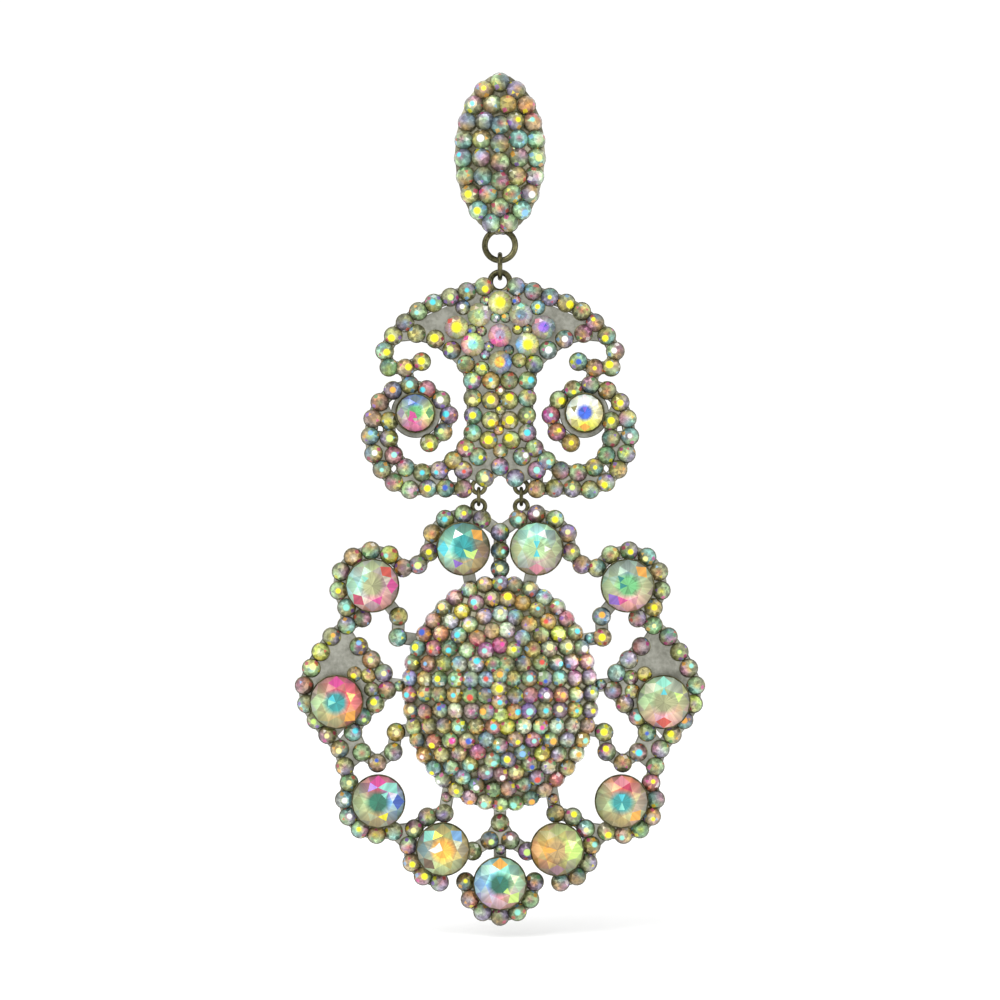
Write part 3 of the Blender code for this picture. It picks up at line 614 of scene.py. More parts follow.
def field_seats():
    """Ovals of small stones on the dome, one pitch apart, from its rim to the middle."""
    chance = random.Random(FIELD_SEED)
    found = []
    for ring in range(FIELD_OVALS):
        closed = ring < FIELD_OVALS - 1
        inset = FIELD_INSET + ring * (OVAL["half_w"] - FIELD_INSET) / (FIELD_OVALS - 1)
        half_w = max(OVAL["half_w"] - inset, 0.05)
        half_h = OVAL["half_h"] - inset
        fine = []
        for step in range((FIELD_STEPS if closed else FIELD_STEPS // 2) + 1):
            angle = math.tau * step / FIELD_STEPS + math.pi / 2
            fine.append(dome_point(half_w * math.cos(angle), half_h * math.sin(angle)))
        lengths = [0.0]
        for near, far in zip(fine, fine[1:]):
            lengths.append(lengths[-1] + (far - near).length)
        count = max(2, round(lengths[-1] / FIELD_PITCH))
        shift = 0.5 * (ring % 2) if closed else 0.0
        for step in range(count if closed else count + 1):
            wanted = lengths[-1] * (step + shift) / count
            at = next(i for i, length in enumerate(lengths) if length >= wanted - 1e-6)
            stray_x = chance.uniform(-FIELD_JITTER, FIELD_JITTER)
            stray_z = chance.uniform(-FIELD_JITTER, FIELD_JITTER)
            point = dome_point(fine[at].x + stray_x, fine[at].z - OVAL["z"] + stray_z)
            found.append((point, dome_outward(point), Vector((0, 0, 1))))
    return found


def inside(outline, spot):
    crossings = 0
    for near, far in zip(outline, outline[1:] + outline[:1]):
        if (near.y > spot.y) != (far.y > spot.y):
            if spot.x < near.x + (far.x - near.x) * (spot.y - near.y) / (far.y - near.y):
                crossings += 1
    return crossings % 2 == 1


def filler_seats(outline, seats, stones, wanted, gem_r):
    """Small stones for the bare plate between the others, each as close to its neighbours as it fits."""
    spots = [(Vector((place.x, place.z)), GEM_R) for place, _, _ in seats] + stones
    low_x = min(point.x for point in outline)
    low_z = min(point.y for point in outline)
    wide = int((max(point.x for point in outline) - low_x) / FILLER_STEP)
    tall = int((max(point.y for point in outline) - low_z) / FILLER_STEP)
    free = []
    for i in range(wide + 1):
        for j in range(tall + 1):
            spot = Vector((low_x + i * FILLER_STEP, low_z + j * FILLER_STEP))
            if wanted(spot) and inside(outline, spot):
                free.append(spot)
    for other, r in spots:
        free = [spot for spot in free if (spot - other).length > r + gem_r - FILLER_OVERLAP]
    found = []
    while free:
        best = min(free, key=lambda spot: sum(sorted((spot - other).length - r for other, r in spots)[:3]))
        spots.append((best, gem_r))
        found.append((Vector((best.x, PLATE_FRONT, best.y)), Vector((0, -1, 0)), Vector((0, 0, 1))))
        free = [spot for spot in free if (spot - best).length > 2 * gem_r - FILLER_OVERLAP]
    return found


def stone_spots(start):
    """Middles and radii of the larger stones whose names begin in one way, seen from the front."""
    found = []
    for name in STONE_CHART:
        if name.startswith(start):
            low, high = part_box(name)
            centre = (low + high) / 2 / MM
            found.append((Vector((centre.x, centre.z)), (high.x - low.x) / 2 / MM))
    return found


def scroll_field_outline():
    half = [scroll_point(share) for share in FIELD_OUTLINE]
    return half + mirrored(half)[1:-1]


def scroll_filler(seats, gem_r):
    """Stones between the larger ones of the scroll's field and down its column."""

    def wanted(spot):
        return abs(spot.x) < FILLER_REACH_X

    return filler_seats(scroll_field_outline(), seats, stone_spots("scroll"), wanted, gem_r)


def diamond_filler(seats):
    """Stones beside the large one in each diamond; the plate above it stays bare."""

    def wanted(spot):
        return spot.y < OVAL["z"] + DIAMOND_BARE_ABOVE

    found = []
    for side in (-1, 1):
        outline = [medallion_point((side * x, z)) for x, z in DIAMOND_OUTLINE]
        found += filler_seats(outline, seats, stone_spots("petal"), wanted, FILLER_R)
    return found


def bridge_filler(seats, gem_r):
    """Stones down the middle of the short bars that carry the oval, where there is room."""
    found = []
    for start, end in BRIDGES:
        for side in (1, -1):
            near, far = (Vector((side * point.x, point.y)) for point in map(medallion_point, (start, end)))
            if side < 0 and abs(near.x) < 1.0:
                continue
            along = (far - near).normalized()
            found += filler_seats(
                strip_outline(near, far, TIE_W), seats + found, stone_spots("petal"),
                lambda spot: abs(along.cross(spot - near)) < BRIDGE_STRAY, gem_r,
            )
    return found


def dome_point(x, z):
    share = math.hypot(x / OVAL["half_w"], z / OVAL["half_h"])
    y = -(OVAL["foot"] + OVAL["rim"] + OVAL["rise"] * (1 - share * share))
    return Vector((x, y, OVAL["z"] + z))


def dome_outward(point):
    slope_x = 2 * OVAL["rise"] * point.x / OVAL["half_w"] ** 2
    slope_z = 2 * OVAL["rise"] * (point.z - OVAL["z"]) / OVAL["half_h"] ** 2
    return Vector((slope_x, -1.0, slope_z)).normalized()


def setting_tree(name):
    """Places one pattern on every seat, tilts each by a small amount and joins them in one mesh."""
    tree = bpy.data.node_groups.new(name, "GeometryNodeTree")
    inputs = {
        "Seats": "Geometry", "Pattern": "Object", "Size": "Float", "Tilt": "Float", "Seed": "Int",
        "Finish": "Material",
    }
    for label, kind in inputs.items():
        tree.interface.new_socket(label, in_out="INPUT", socket_type="NodeSocket" + kind)
    tree.interface.new_socket("Stones", in_out="OUTPUT", socket_type="NodeSocketGeometry")

    def add(kind, values, **settings):
        made = tree.nodes.new(kind)
        for key, value in settings.items():
            setattr(made, key, value)
        for key, value in values.items():
            if isinstance(value, bpy.types.NodeSocket):
                tree.links.new(value, made.inputs[key])
            else:
                made.inputs[key].default_value = value
        return made.outputs

    given = add("NodeGroupInput", {})
    pattern = add("GeometryNodeObjectInfo", {"Object": given["Pattern"]})
    lean = add("GeometryNodeInputNamedAttribute", {"Name": "lean"}, data_type="FLOAT_VECTOR")
    low = add("ShaderNodeMath", {0: given["Tilt"], 1: -1.0}, operation="MULTIPLY")
    span = {0: low[0], 1: given["Tilt"], "Seed": given["Seed"]}
    wobble = add("FunctionNodeRandomValue", span, data_type="FLOAT_VECTOR")
    upright = add("ShaderNodeVectorMath", {0: wobble[0], 1: (1.0, 1.0, 0.0)}, operation="MULTIPLY")
    placed = add("GeometryNodeInstanceOnPoints", {
        "Points": given["Seats"], "Instance": pattern["Geometry"], "Rotation": lean[0],
        "Scale": given["Size"],
    })
    turned = add("GeometryNodeRotateInstances", {"Instances": placed["Instances"], "Rotation": upright[0]})
    joined = add("GeometryNodeRealizeInstances", {"Geometry": turned["Instances"]})
    dressed = add("GeometryNodeSetMaterial", {"Geometry": joined["Geometry"], "Material": given["Finish"]})
    add("NodeGroupOutput", {"Stones": dressed["Geometry"]})
    return tree


def set_on_seats(tree, name, seats, pattern, finish, size, tilt_deg, seed):
    """Runs the tree on the seats and gives back its plain mesh."""
    mesh = bpy.data.meshes.new(name)
    mesh.from_pydata([seat[0] * MM for seat in seats], [], [])
    lean = mesh.attributes.new("lean", "FLOAT_VECTOR", "POINT")
    for index, (_, outward, mark) in enumerate(seats):
        side = (mark - outward * mark.dot(outward)).normalized()
        frame = Matrix((side, outward.cross(side), outward)).transposed()
        lean.data[index].vector = frame.to_euler()
    base = piece(name + "_seats", mesh, None)
    pattern_item = piece(name + "_pattern", pattern, None)
    maker = base.modifiers.new("setting", "NODES")
    maker.node_group = tree
    values = {
        "Pattern": pattern_item, "Size": size, "Tilt": math.radians(tilt_deg), "Seed": seed, "Finish": finish,
    }
    for socket in tree.interface.items_tree:
        if socket.in_out == "INPUT" and socket.name in values:
            maker[socket.identifier] = values[socket.name]
    graph = bpy.context.evaluated_depsgraph_get()
    made = bpy.data.meshes.new_from_object(base.evaluated_get(graph))
    base.modifiers.remove(maker)
    bpy.data.objects.remove(base)
    bpy.data.objects.remove(pattern_item)
    return made


def paint_facets(mesh, corners, colour_of):
    """Writes a colour for each facet corner. corners holds the pattern's own corners, facet by facet."""
    colours = mesh.attributes.new("facet", "FLOAT_COLOR", "CORNER")
    for face in mesh.polygons:
        stone, number = divmod(face.index, len(corners))
        for corner, place in zip(face.loop_indices, corners[number]):
            colours.data[corner].color = (*linear(colour_of(stone, number, place)), 1.0)


def smooth_step(low, high, value):
    share = max(0.0, min(1.0, (value - low) / (high - low)))
    return share * share * (3 - 2 * share)


def round_blend(colours, turn):
    """A smooth colour round a circle, from colours at equal steps of one turn."""
    count = len(colours)
    at = (turn % 1.0) * count
    first = int(at) % count
    return blend_colours(colours[first], colours[(first + 1) % count], smooth_step(0, 1, at - int(at)))


def small_stone_look(seed, index, place, shares):
    """What one small stone shows: a body of three tones, often a bright spot painted as a highlight, and
    flashing facets.
    """
    chance = random.Random(seed * GROUP_SEEDS + index)
    body = [scaled(pick(chance, BODY_SHARES), chance.uniform(*SMALL_STONE["tone"])) for _ in range(3)]
    if chance.random() < shares["tinted"]:
        tint = pick(chance, FLASH_SHARES)
        body = [blend_colours(tone, tint, SMALL_STONE["tint"]) for tone in body]
    spot = None
    painted_highlight_r = chance.uniform(*SMALL_STONE["painted_highlight_r"])
    far = chance.choice(SMALL_STONE["painted_highlight_far"])
    if chance.random() < shares["spots"]:
        spot = pick(chance, shares["colours"])
    if chance.random() < shares["yellow"] or "yellow_in" in shares and shares["yellow_in"](place, chance):
        spot = PALETTE["yellow"]
        painted_highlight_r = chance.uniform(*SMALL_STONE["yellow_painted_highlight_r"])
        body = [blend_colours(tone, PALETTE["straw"], 0.5) for tone in body]
    angle = chance.uniform(0, math.tau)
    flashes = {}
    for _ in range(chance.choice(SMALL_STONE["flash_counts"])):
        colour = pick(chance, FLASH_SHARES)
        flashes[chance.randrange(SECTORS), chance.choice(SMALL_STONE["flash_parts"])] = colour
    return {
        "body": body,
        "turn": chance.random(),
        "painted_highlight_place": (far * math.cos(angle), far * math.sin(angle)),
        "spot": (spot, painted_highlight_r) if spot else None,
        "flashes": flashes,
        "inner": pick(chance, FLASH_SHARES),
        "inner_share": chance.uniform(*SMALL_STONE["inner_share"]),
        "tones": [chance.uniform(*SMALL_STONE["facet_tone"]) for _ in range(SMALL_FACETS)],
    }


def small_stone_colours(looks):
    """A rule for the facets of small stones."""

    def colour_of(stone, face, place):
        look = looks[stone]
        radius = math.hypot(place.x, place.y)
        turn = math.atan2(place.y, place.x) / math.tau
        body = round_blend(look["body"], turn + look["turn"])
        tone = look["tones"][face]
        # The girdle band and foot are darkened: painted shade at the stone's rim
        if face < GIRDLE_SIDES or face == SMALL_FACETS - 1:
            return scaled(body, SMALL_STONE["edge"])
        sector, part = divmod(face - GIRDLE_SIDES, SECTOR_FACETS)
        if part == SECTOR_FACETS - 1:
            inner = look["inner_share"] * (1 - smooth_step(0.1, 0.56, radius))
            return scaled(blend_colours(body, look["inner"], inner), tone)
        # Crown facets darken towards the girdle: painted shade that rounds the stone like a bead
        body = scaled(body, (1.05 - 0.44 * smooth_step(0.84, 1.0, radius)) * tone)
        flash = look["flashes"].get((sector, part))
        return blend_colours(body, flash, SMALL_STONE["flash"]) if flash else body

    return colour_of


def mark_stones(mesh, corners, middles, spots):
    """Writes where each corner lies from its stone's spot, a painted highlight, and the spot's colour and
    radius.
    """
    mesh.attributes.new("seat", "FLOAT_VECTOR", "CORNER")
    mesh.attributes.new("spot", "FLOAT_COLOR", "CORNER")
    places = mesh.attributes["seat"]
    colours = mesh.attributes["spot"]
    for face in mesh.polygons:
        stone, number = divmod(face.index, len(corners))
        spot = spots[stone]
        colour = (*linear(spot[0]), spot[1]) if spot else (0.0, 0.0, 0.0, -1.0)
        for corner, place in zip(face.loop_indices, corners[number]):
            x, y = middles[stone]
            places.data[corner].vector = (place.x - x, place.y - y, stone * STONE_STEP)
            colours.data[corner].color = colour


def large_gem(stone_d, base_y, girdle_y, table_y):
    """A large cut stone: pavilion, thin girdle, crown of kites and stars, and a table through which
    the back facets show. Gives the shape and what each facet is: its ring and sector."""
    shape = bmesh.new()
    order = []
    r = stone_d / 2
    crown = table_y - girdle_y
    band = LARGE_CUT["band"] * stone_d

    def facet(ring, sector, *corners):
        shape.faces.new(corners)
        order.append((ring, sector))

    shoulder_y = girdle_y + crown * LARGE_CUT["shoulder_height"]
    foot = corner_ring(shape, r * LARGE_CUT["foot"], base_y, GIRDLE_SIDES)
    low = corner_ring(shape, r * LARGE_CUT["girdle"], girdle_y - band, GIRDLE_SIDES)
    high = corner_ring(shape, r * LARGE_CUT["girdle"], girdle_y, GIRDLE_SIDES)
    shoulder = corner_ring(shape, r * LARGE_CUT["shoulder"], shoulder_y, SECTORS, 0.5)
    table = corner_ring(shape, r * LARGE_CUT["table"], table_y, SECTORS)
    star = corner_ring(shape, r * LARGE_CUT["star"], table_y, SECTORS, 0.5)
    middle = shape.verts.new((0, 0, table_y))
    facet("back", 0, *foot[::-1])
    for i in range(GIRDLE_SIDES):
        j = (i + 1) % GIRDLE_SIDES
        facet("back", i // 2, foot[i], foot[j], low[j], low[i])
        facet("girdle", i // 2, low[i], low[j], high[j], high[i])
    for i in range(SECTORS):
        j = (i + 1) % SECTORS
        facet("kite", i, table[i], shoulder[i - 1], high[2 * i], shoulder[i])
        facet("star", i, table[i], shoulder[i], table[j])
        facet("rim", i, shoulder[i], high[2 * i], high[2 * i + 1])
        facet("rim", i, shoulder[i], high[2 * i + 1], high[2 * j])
        facet("table", i, star[i], table[i], table[j])
        facet("inner", i, star[i - 1], table[i], star[i])
        facet("core", i, middle, star[i - 1], star[i])
    return shape, order


def large_stone_colours(order, chart, stone_d, seed):
    """A rule for a large stone: charted colours that run into each other, and facets that flash."""
    middle, top, right, bottom, left = (PALETTE[name] for name in chart[0].split(", "))
    sides = [right, top, left, bottom]
    flashes = {}
    for flash in chart[1].split(", ") if chart[1] else ():
        ring, sector, name = flash.split(" ", 2)
        flashes[ring, int(sector)] = PALETTE[name]
    chance = random.Random(seed)
    tones = [chance.uniform(*LARGE_STONE["tone"]) for _ in order]
    own = [pick(chance, BODY_SHARES) for _ in order]

    def colour_of(stone, face, place):
        ring, sector = order[face]
        share = math.hypot(place.x, place.y) / (stone_d / 2)
        side = round_blend(sides, math.atan2(place.y, place.x) / math.tau)
        # The back and girdle are darkened: painted shade at the stone's rim
        if ring in ("back", "girdle"):
            return scaled(side, LARGE_STONE["edge"])
        colour = blend_colours(middle, side, smooth_step(0.30, 0.56, share))
        if ring in ("rim", "kite", "star"):
            colour = blend_colours(colour, own[face], LARGE_STONE["own"])
            # Crown facets darken towards the girdle: painted shade
            colour = scaled(colour, 1.05 - 0.28 * smooth_step(0.7, 1.0, share))
        flash = flashes.get((ring, sector))
        if flash:
            return blend_colours(flash, colour, LARGE_STONE["under_flash"])
        return scaled(colour, LARGE_STONE["bright"] * tones[face])

    return colour_of


def dress_large_stones(finish):
    for number, (name, chart) in enumerate(STONE_CHART.items()):
        low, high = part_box(name)
        centre = (low + high) / 2 / MM
        stone_d = (high.x - low.x) / MM
        front = PLATE_FRONT - low.y / MM
        back = PLATE_FRONT - high.y / MM
        girdle = front - CROWN_SHARE * stone_d
        share = next(value for start, value in LARGE_SHARE.items() if name.startswith(start))
        shape, order = large_gem(stone_d * share, back, girdle, front)
        corners = [[loop.vert.co.copy() for loop in face.loops] for face in shape.faces]
        shape.transform(facing_front(centre.x, centre.z, PLATE_FRONT))
        item = piece(name + "_cut", shape, finish)
        paint_facets(item.data, corners, large_stone_colours(order, chart, stone_d, number))
        shares = [[corner / (stone_d / 2) for corner in facet] for facet in corners]
        mark_stones(item.data, shares, [(0.0, 0.0)], [None])
        on_scroll = name.startswith("scroll")
        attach(item, "scroll" if on_scroll else "medallion")
        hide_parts(name)


def oval_outline(half_w, half_h, centre_z, sides=72):
    found = []
    for step in range(sides):
        angle = math.tau * step / sides
        found.append(Vector((half_w * math.cos(angle), centre_z + half_h * math.sin(angle))))
    return found


def disc_outline(centre, radius, sides=28):
    return [point + Vector((centre.x, 0)) for point in oval_outline(radius, radius, centre.y, sides)]


def strip_outline(start, end, width):
    along = (end - start).normalized()
    side = Vector((-along.y, along.x)) * width / 2
    return [start - side, end - side, end + side, start + side]


def mirrored(outline):
    return [Vector((-point.x, point.y)) for point in outline][::-1]


def covers(outlines, cell=2.0):
    """A test of whether a spot lies in any outline, with the outlines sorted into squares first."""
    squares = {}
    for number, outline in enumerate(outlines):
        xs = [point.x for point in outline]
        ys = [point.y for point in outline]
        for i in range(math.floor(min(xs) / cell), math.floor(max(xs) / cell) + 1):
            for j in range(math.floor(min(ys) / cell), math.floor(max(ys) / cell) + 1):
                squares.setdefault((i, j), []).append(number)

    def covered(spot):
        near = squares.get((math.floor(spot.x / cell), math.floor(spot.y / cell)), ())
        return any(inside(outlines[number], spot) for number in near)

    return covered


def cut_plate(outlines, rim=None, hole=None, back=0.0, front=PLATE_FRONT, ease=EDGE_EASE):
    """One flat plate from outlines that overlap, with its front edge a little eased. The hole is cut
    from the rim alone, so what else reaches over it stays."""
    points = []
    loops = []
    for outline in outlines + ([rim, hole] if rim else []):
        area = sum(near.cross(far) for near, far in zip(outline, outline[1:] + outline[:1]))
        start = len(points)
        points += outline if area > 0 else outline[::-1]
        loops.append(list(range(start, start + len(outline))))
    places, _, faces, _, _, _ = delaunay_2d_cdt(points, [], loops, 0, CUT_TOLERANCE)
    covered = covers(outlines)
    kept = []
    for face in faces:
        spot = sum((places[index] for index in face), Vector((0, 0))) / len(face)
        if covered(spot) or rim and inside(rim, spot) and not inside(hole, spot):
            kept.append(face)
    edges = {(near, far) for face in kept for near, far in zip(face, list(face[1:]) + [face[0]])}
    border = sorted((near, far) for near, far in edges if (far, near) not in edges)
    inward = {}
    for near, far in border:
        along = (places[far] - places[near]).normalized()
        for index in (near, far):
            inward[index] = inward.get(index, Vector((0, 0))) + Vector((-along.y, along.x))
    shape = bmesh.new()
    levels = []
    for y, inset in ((front, ease), (front + ease, 0.0), (back, 0.0)):
        level = {}
        for index in sorted({index for face in kept for index in face}):
            place = places[index]
            if inset and index in inward and inward[index].length > 0.5:
                place = place + inward[index].normalized() * inset
            if y != front + ease or index in inward:
                level[index] = shape.verts.new((place.x, y, place.y))
        levels.append(level)
    top, ledge, bottom = levels
    for face in kept:
        shape.faces.new([top[index] for index in face])
        shape.faces.new([bottom[index] for index in reversed(face)])
    for near, far in border:
        shape.faces.new((top[far], top[near], ledge[near], ledge[far]))
        shape.faces.new((ledge[far], ledge[near], bottom[near], bottom[far]))
    bmesh.ops.recalc_face_normals(shape, faces=shape.faces[:])
    return shape


def scroll_point(share):
    return Vector((share[0] * SCROLL["half_w"], SCROLL["top_z"] - share[1] * SCROLL["drop"]))


def medallion_point(share):
    return Vector((share[0] * SHARE_HALF_W, OVAL["z"] + share[1] * SHARE_HALF_H))


def seat_outlines(seats):
    """A disc under each small stone and a strip between near neighbours."""
    spots = [Vector((place.x, place.z)) for place, _, _ in seats]
    found = [disc_outline(spot, SEAT_DISC_R) for spot in spots]
    for index, spot in enumerate(spots):
        for other in spots[index + 1:]:
            if (spot - other).length < TIE_REACH:
                found.append(strip_outline(spot, other, TIE_W))
    return found


def add_turned(shape, place, profile, sides=48, smooth=True):
    """A closed turned shape from (radius, height) rows about the place's Z axis."""
    rings = [corner_ring(shape, radius, height, sides, place=place) for radius, height in profile]
    for lower, upper in zip(rings, rings[1:]):
        for step in range(sides):
            after = (step + 1) % sides
            face = shape.faces.new((lower[step], lower[after], upper[after], upper[step]))
            face.smooth = smooth
    shape.faces.new(rings[0][::-1])
    shape.faces.new(rings[-1])


def stone_cups(names):
    """Flared cups under the large stones, with a thin lip round each girdle."""
    shape = bmesh.new()
    cup = BIG_CUP
    for name in names:
        low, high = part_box(name)
        centre = (low + high) / 2 / MM
        r = (high.x - low.x) / 2 / MM
        foot_r = cup["foot_share"] * 2 * r
        outer_r = r + cup["wall"]
        girdle = PLATE_FRONT - low.y / MM - CROWN_SHARE * 2 * r
        profile = (
            (foot_r, cup["foot_y"]), (foot_r, cup["foot_top"]),
            (outer_r, girdle - cup["flare"]), (outer_r, girdle - cup["lip"]),
            (outer_r - cup["ease"], girdle - cup["ease"]), (r - cup["inner"], girdle - cup["seat"]),
        )
        add_turned(shape, facing_front(centre.x, centre.z, PLATE_FRONT), profile)
    return shape


def metal_piece(name, body, shape, finish, *stands_for):
    item = piece(name, shape, finish)
    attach(item, body)
    if stands_for:
        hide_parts(*stands_for)


def dress_frames(frame, metal, plate_metal):
    """The pierced plates, cut to the stones' own scalloped outline, and the large stones' cups."""
    nodes = frame["nodes"]
    outlines = seat_outlines(seats_of(nodes["scroll_frame"]))
    outlines.insert(0, scroll_field_outline())
    lower_loop = Vector((LOOP_X, HINGE_Z + 2 * SMALL_LOOP["r"] - LOOP_OVERLAP))
    pieces = [disc_outline(scroll_point(EYE_AT), CUP_DISC_R, CUP_DISC_SIDES)]
    pieces.append(strip_outline(scroll_point(FOOT_AT), lower_loop, STEM_W))
    outlines += pieces + [mirrored(outline) for outline in pieces]
    top = Vector((0, TOP_LOOP["z"] - TOP_LOOP["r"] + LOOP_OVERLAP))
    outlines.append(strip_outline(top, scroll_point(TOP_STEM["foot"]), TOP_STEM["w"]))
    metal_piece("scroll_plate", "scroll", cut_plate(outlines), plate_metal, "scroll_frame")
    eyes = [name for name in STONE_CHART if name.startswith("scroll_eye")]
    metal_piece("scroll_cups", "scroll", stone_cups(eyes), metal)

    rim = oval_outline(OVAL["half_w"] + PAN_LIP, OVAL["half_h"] + PAN_LIP, OVAL["z"])
    hole = oval_outline(OVAL["half_w"] - PAN_W, OVAL["half_h"] - PAN_W, OVAL["z"])
    outlines = seat_outlines(seats_of(nodes["medallion_frame"]))
    pieces = [[medallion_point(share) for share in DIAMOND_OUTLINE]]
    for start, end in BRIDGES:
        pieces.append(strip_outline(medallion_point(start), medallion_point(end), TIE_W))
    upper_loop = Vector((LOOP_X, HINGE_Z - 2 * JOINING_RING["spread"] - 2 * SMALL_LOOP["r"] + LOOP_OVERLAP))
    pieces.append(strip_outline(upper_loop, medallion_point(CREST_AT), STEM_W))
    outlines += pieces + [mirrored(outline) for outline in pieces if abs(outline[0].x) > 1.0]
    petals = [name for name in STONE_CHART if name.startswith("petal")]
    for name in petals:
        low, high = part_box(name)
        middle = Vector(((low.x + high.x) / 2 / MM, (low.z + high.z) / 2 / MM))
        outlines.append(disc_outline(middle, CUP_DISC_R, CUP_DISC_SIDES))
    plate = cut_plate(outlines, rim, hole)
    metal_piece("medallion_plate", "medallion", plate, plate_metal, "medallion_frame")
    metal_piece("medallion_cups", "medallion", stone_cups(petals), metal)


def dress_small_stones(frame, tree, stone, metal):
    """Every group of small stones and their cups: its name, body, seats, look and stone's radius."""
    nodes = frame["nodes"]
    scroll = seats_of(nodes["scroll_frame"])
    arch = scroll_filler(scroll, FILLER_R)
    fine_arch = scroll_filler(scroll + arch, FINE_FILLER_R)
    medallion = seats_of(nodes["medallion_frame"])
    field = field_seats()
    diamond = diamond_filler(medallion)
    bridge = bridge_filler(medallion + diamond + field, FINE_FILLER_R)
    groups = (
        ("stud", "stud", seats_of(nodes["stud_frame"]), STUD_LOOK, STUD_GEM_R),
        ("scroll", "scroll", scroll, SCROLL_LOOK, GEM_R),
        ("medallion", "medallion", medallion, PETAL_LOOK, GEM_R),
        ("arch_filler", "scroll", arch, SCROLL_LOOK, FILLER_R),
        ("arch_fine_filler", "scroll", fine_arch, SCROLL_LOOK, FINE_FILLER_R),
        ("diamond_filler", "medallion", diamond, PETAL_LOOK, FILLER_R),
        ("field", "medallion", field, OVAL_LOOK, FIELD_GEM_R),
        ("bridge_filler", "medallion", bridge, PETAL_LOOK, FINE_FILLER_R),
    )
    gem = small_gem()
    corners = [[loop.vert.co.copy() for loop in face.loops] for face in gem.faces]
    gem.free()
    for number, (name, body, seats, shares, gem_r) in enumerate(groups, 1):
        mesh = set_on_seats(tree, name + "_small", seats, small_gem(), stone, gem_r, STONE_TILT_DEG, number)
        looks = [small_stone_look(number, index, seat[0], shares) for index, seat in enumerate(seats)]
        paint_facets(mesh, corners, small_stone_colours(looks))
        mark_stones(mesh, corners, [look["painted_highlight_place"] for look in looks], [look["spot"] for look in looks])
        gems = piece(name + "_small_stones", mesh, stone)
        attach(gems, body)
        mesh = set_on_seats(tree, name + "_cup", seats, small_cup(), metal, gem_r / GEM_R, 0.0, number)
        metal_piece(name + "_small_cups", body, mesh, metal)


def dress_wires(metal):
    sideways = Matrix.Rotation(math.pi / 2, 4, "Y")
    link_place = Matrix.Translation((0, WIRE_Y, TOP_LINK["z"])) @ sideways
    ring_piece("stud_ring_wire", "stud", metal, [(facing_front(0, STUD_RING["z"]), STUD_RING)])
    ring_piece("top_link_wire", "link", metal, [(link_place, TOP_LINK)], "top_link")
    ring_piece("top_loop_wire", "scroll", metal, [(facing_front(0, TOP_LOOP["z"]), TOP_LOOP)])
    upper = HINGE_Z + SMALL_LOOP["r"]
    lower = HINGE_Z - 2 * JOINING_RING["spread"] - SMALL_LOOP["r"]
    for body, z in (("scroll", upper), ("medallion", lower)):
        rings = [(facing_front(side * LOOP_X, z), SMALL_LOOP) for side in (-1, 1)]
        ring_piece(body + "_small_loops", body, metal, rings)
    for side, word in ((-1, "left"), (1, "right")):
        place = Matrix.Translation((side * LOOP_X, WIRE_Y, HINGE_Z - JOINING_RING["spread"])) @ sideways
        rings = [(place, JOINING_RING)]
        ring_piece("joining_wire_" + word, "medallion", metal, rings, "joining_ring_" + word)


def build_stage(lowest):
    """A plain pale floor just under the earring."""
    shape = bmesh.new()
    bmesh.ops.create_circle(shape, cap_ends=True, segments=64, radius=FLOOR["r"])
    bmesh.ops.translate(shape, vec=(0, 0, lowest / MM - FLOOR["gap"]), verts=shape.verts[:])
    finish = Finish("pale_floor")
    cloud = finish.grain(FLOOR["cloud"])
    stops = zip((0.0, 1.0), FLOOR["tones"])
    colour = finish.node("ShaderNodeValToRGB", {"stops": stops}, {"Fac": cloud})
    finish.surface(Base_Color=colour, Roughness=0.6)
    floor = piece("floor", shape, finish.material)


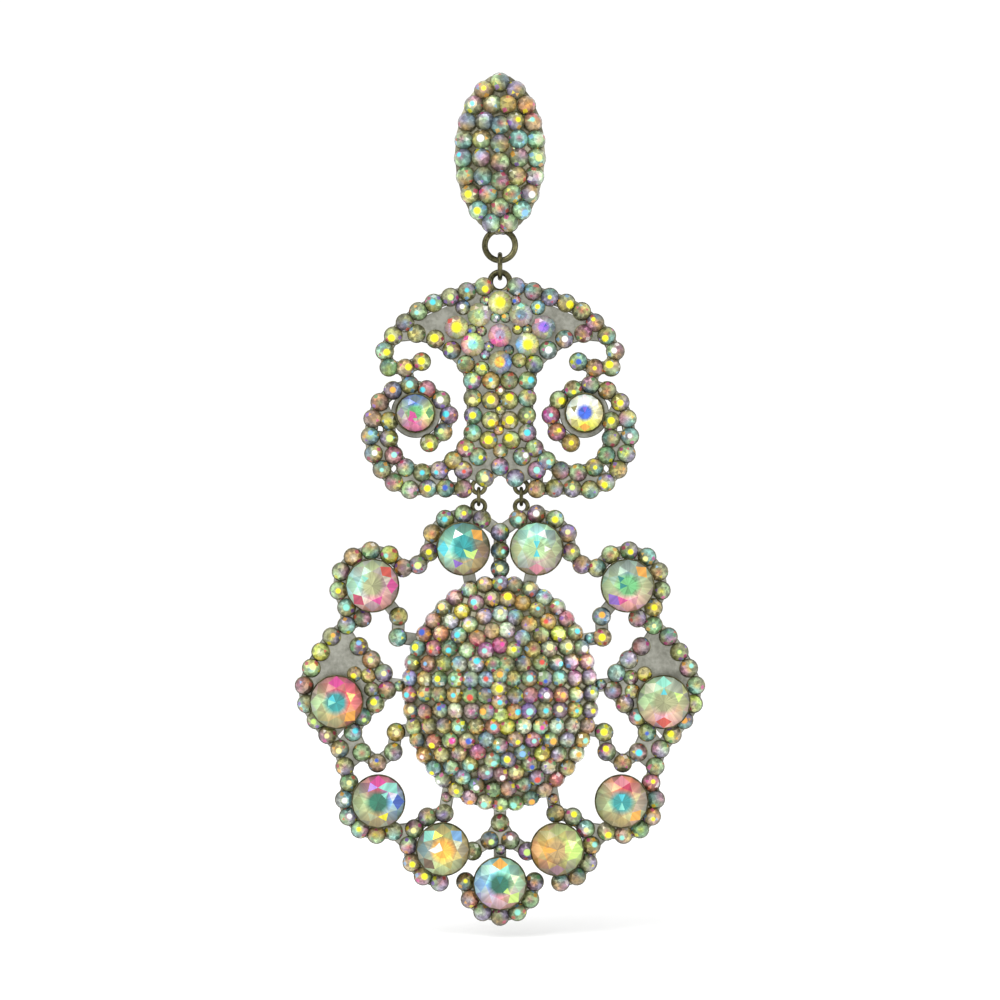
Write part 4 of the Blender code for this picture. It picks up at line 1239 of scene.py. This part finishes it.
def add_area_light(name, centre, offset, size, power):
    light = bpy.data.lights.new(name, "AREA")
    light.shape = "DISK"
    light.size = size
    light.energy = power
    item = bpy.data.objects.new(name, light)
    item.location = centre + Vector(offset)
    item.rotation_euler = (-Vector(offset)).to_track_quat("-Z", "Y").to_euler()
    bpy.context.scene.collection.objects.link(item)


def build_light(centre):
    world = bpy.data.worlds.new("soft_studio")
    bpy.context.scene.world = world
    world.use_nodes = True
    background = world.node_tree.nodes["Background"]
    background.inputs["Color"].default_value = (1.0, 1.0, 1.0, 1.0)
    background.inputs["Strength"].default_value = SKY_LIGHT
    for name, light in LIGHTS.items():
        add_area_light(name, centre, **light)
    bpy.context.scene.view_settings.view_transform = "Standard"


def build_camera(low, high):
    """Looks straight at the front, level with the middle of the earring."""
    centre = (low + high) / 2
    lens = bpy.data.cameras.new("camera")
    lens.type = "PERSP"
    lens.lens = 120.0
    lens.sensor_width = 36.0
    tall = (high.z - low.z) / FRAME_SHARE
    distance = tall * lens.lens / lens.sensor_width
    item = bpy.data.objects.new("camera", lens)
    item.location = (centre.x, low.y - distance, centre.z)
    item.rotation_euler = (math.pi / 2, 0, 0)
    bpy.context.scene.collection.objects.link(item)
    bpy.context.scene.camera = item
    return centre


def main():
    for item in list(bpy.data.objects):
        bpy.data.objects.remove(item)
    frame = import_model()
    low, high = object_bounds()
    metal, plate_metal, painted_shade_base_metal, post_metal = (metal_finish(name) for name in METALS)
    stone = stone_finish("coated_small_crystal", foil=0.2, streak_dark=0.72, streak_fine=1.6)
    large_stone = stone_finish("coated_large_crystal", foil=0.2, streak_dark=0.70, streak_fine=4.5)
    # The stud frame and dome take the metal made darker as painted shade between their stones
    finishes = {"stud_frame": painted_shade_base_metal, "medallion_dome": painted_shade_base_metal, "ear_post": post_metal}
    for name, finish in finishes.items():
        for slot in frame["nodes"][name].material_slots:
            slot.material = finish
    tree = setting_tree("setting_of_stones")
    dress_small_stones(frame, tree, stone, metal)
    dress_large_stones(large_stone)
    dress_frames(frame, metal, plate_metal)
    dress_wires(metal)
    build_stage(low.z)
    centre = build_camera(low, high)
    build_light(centre)


main()
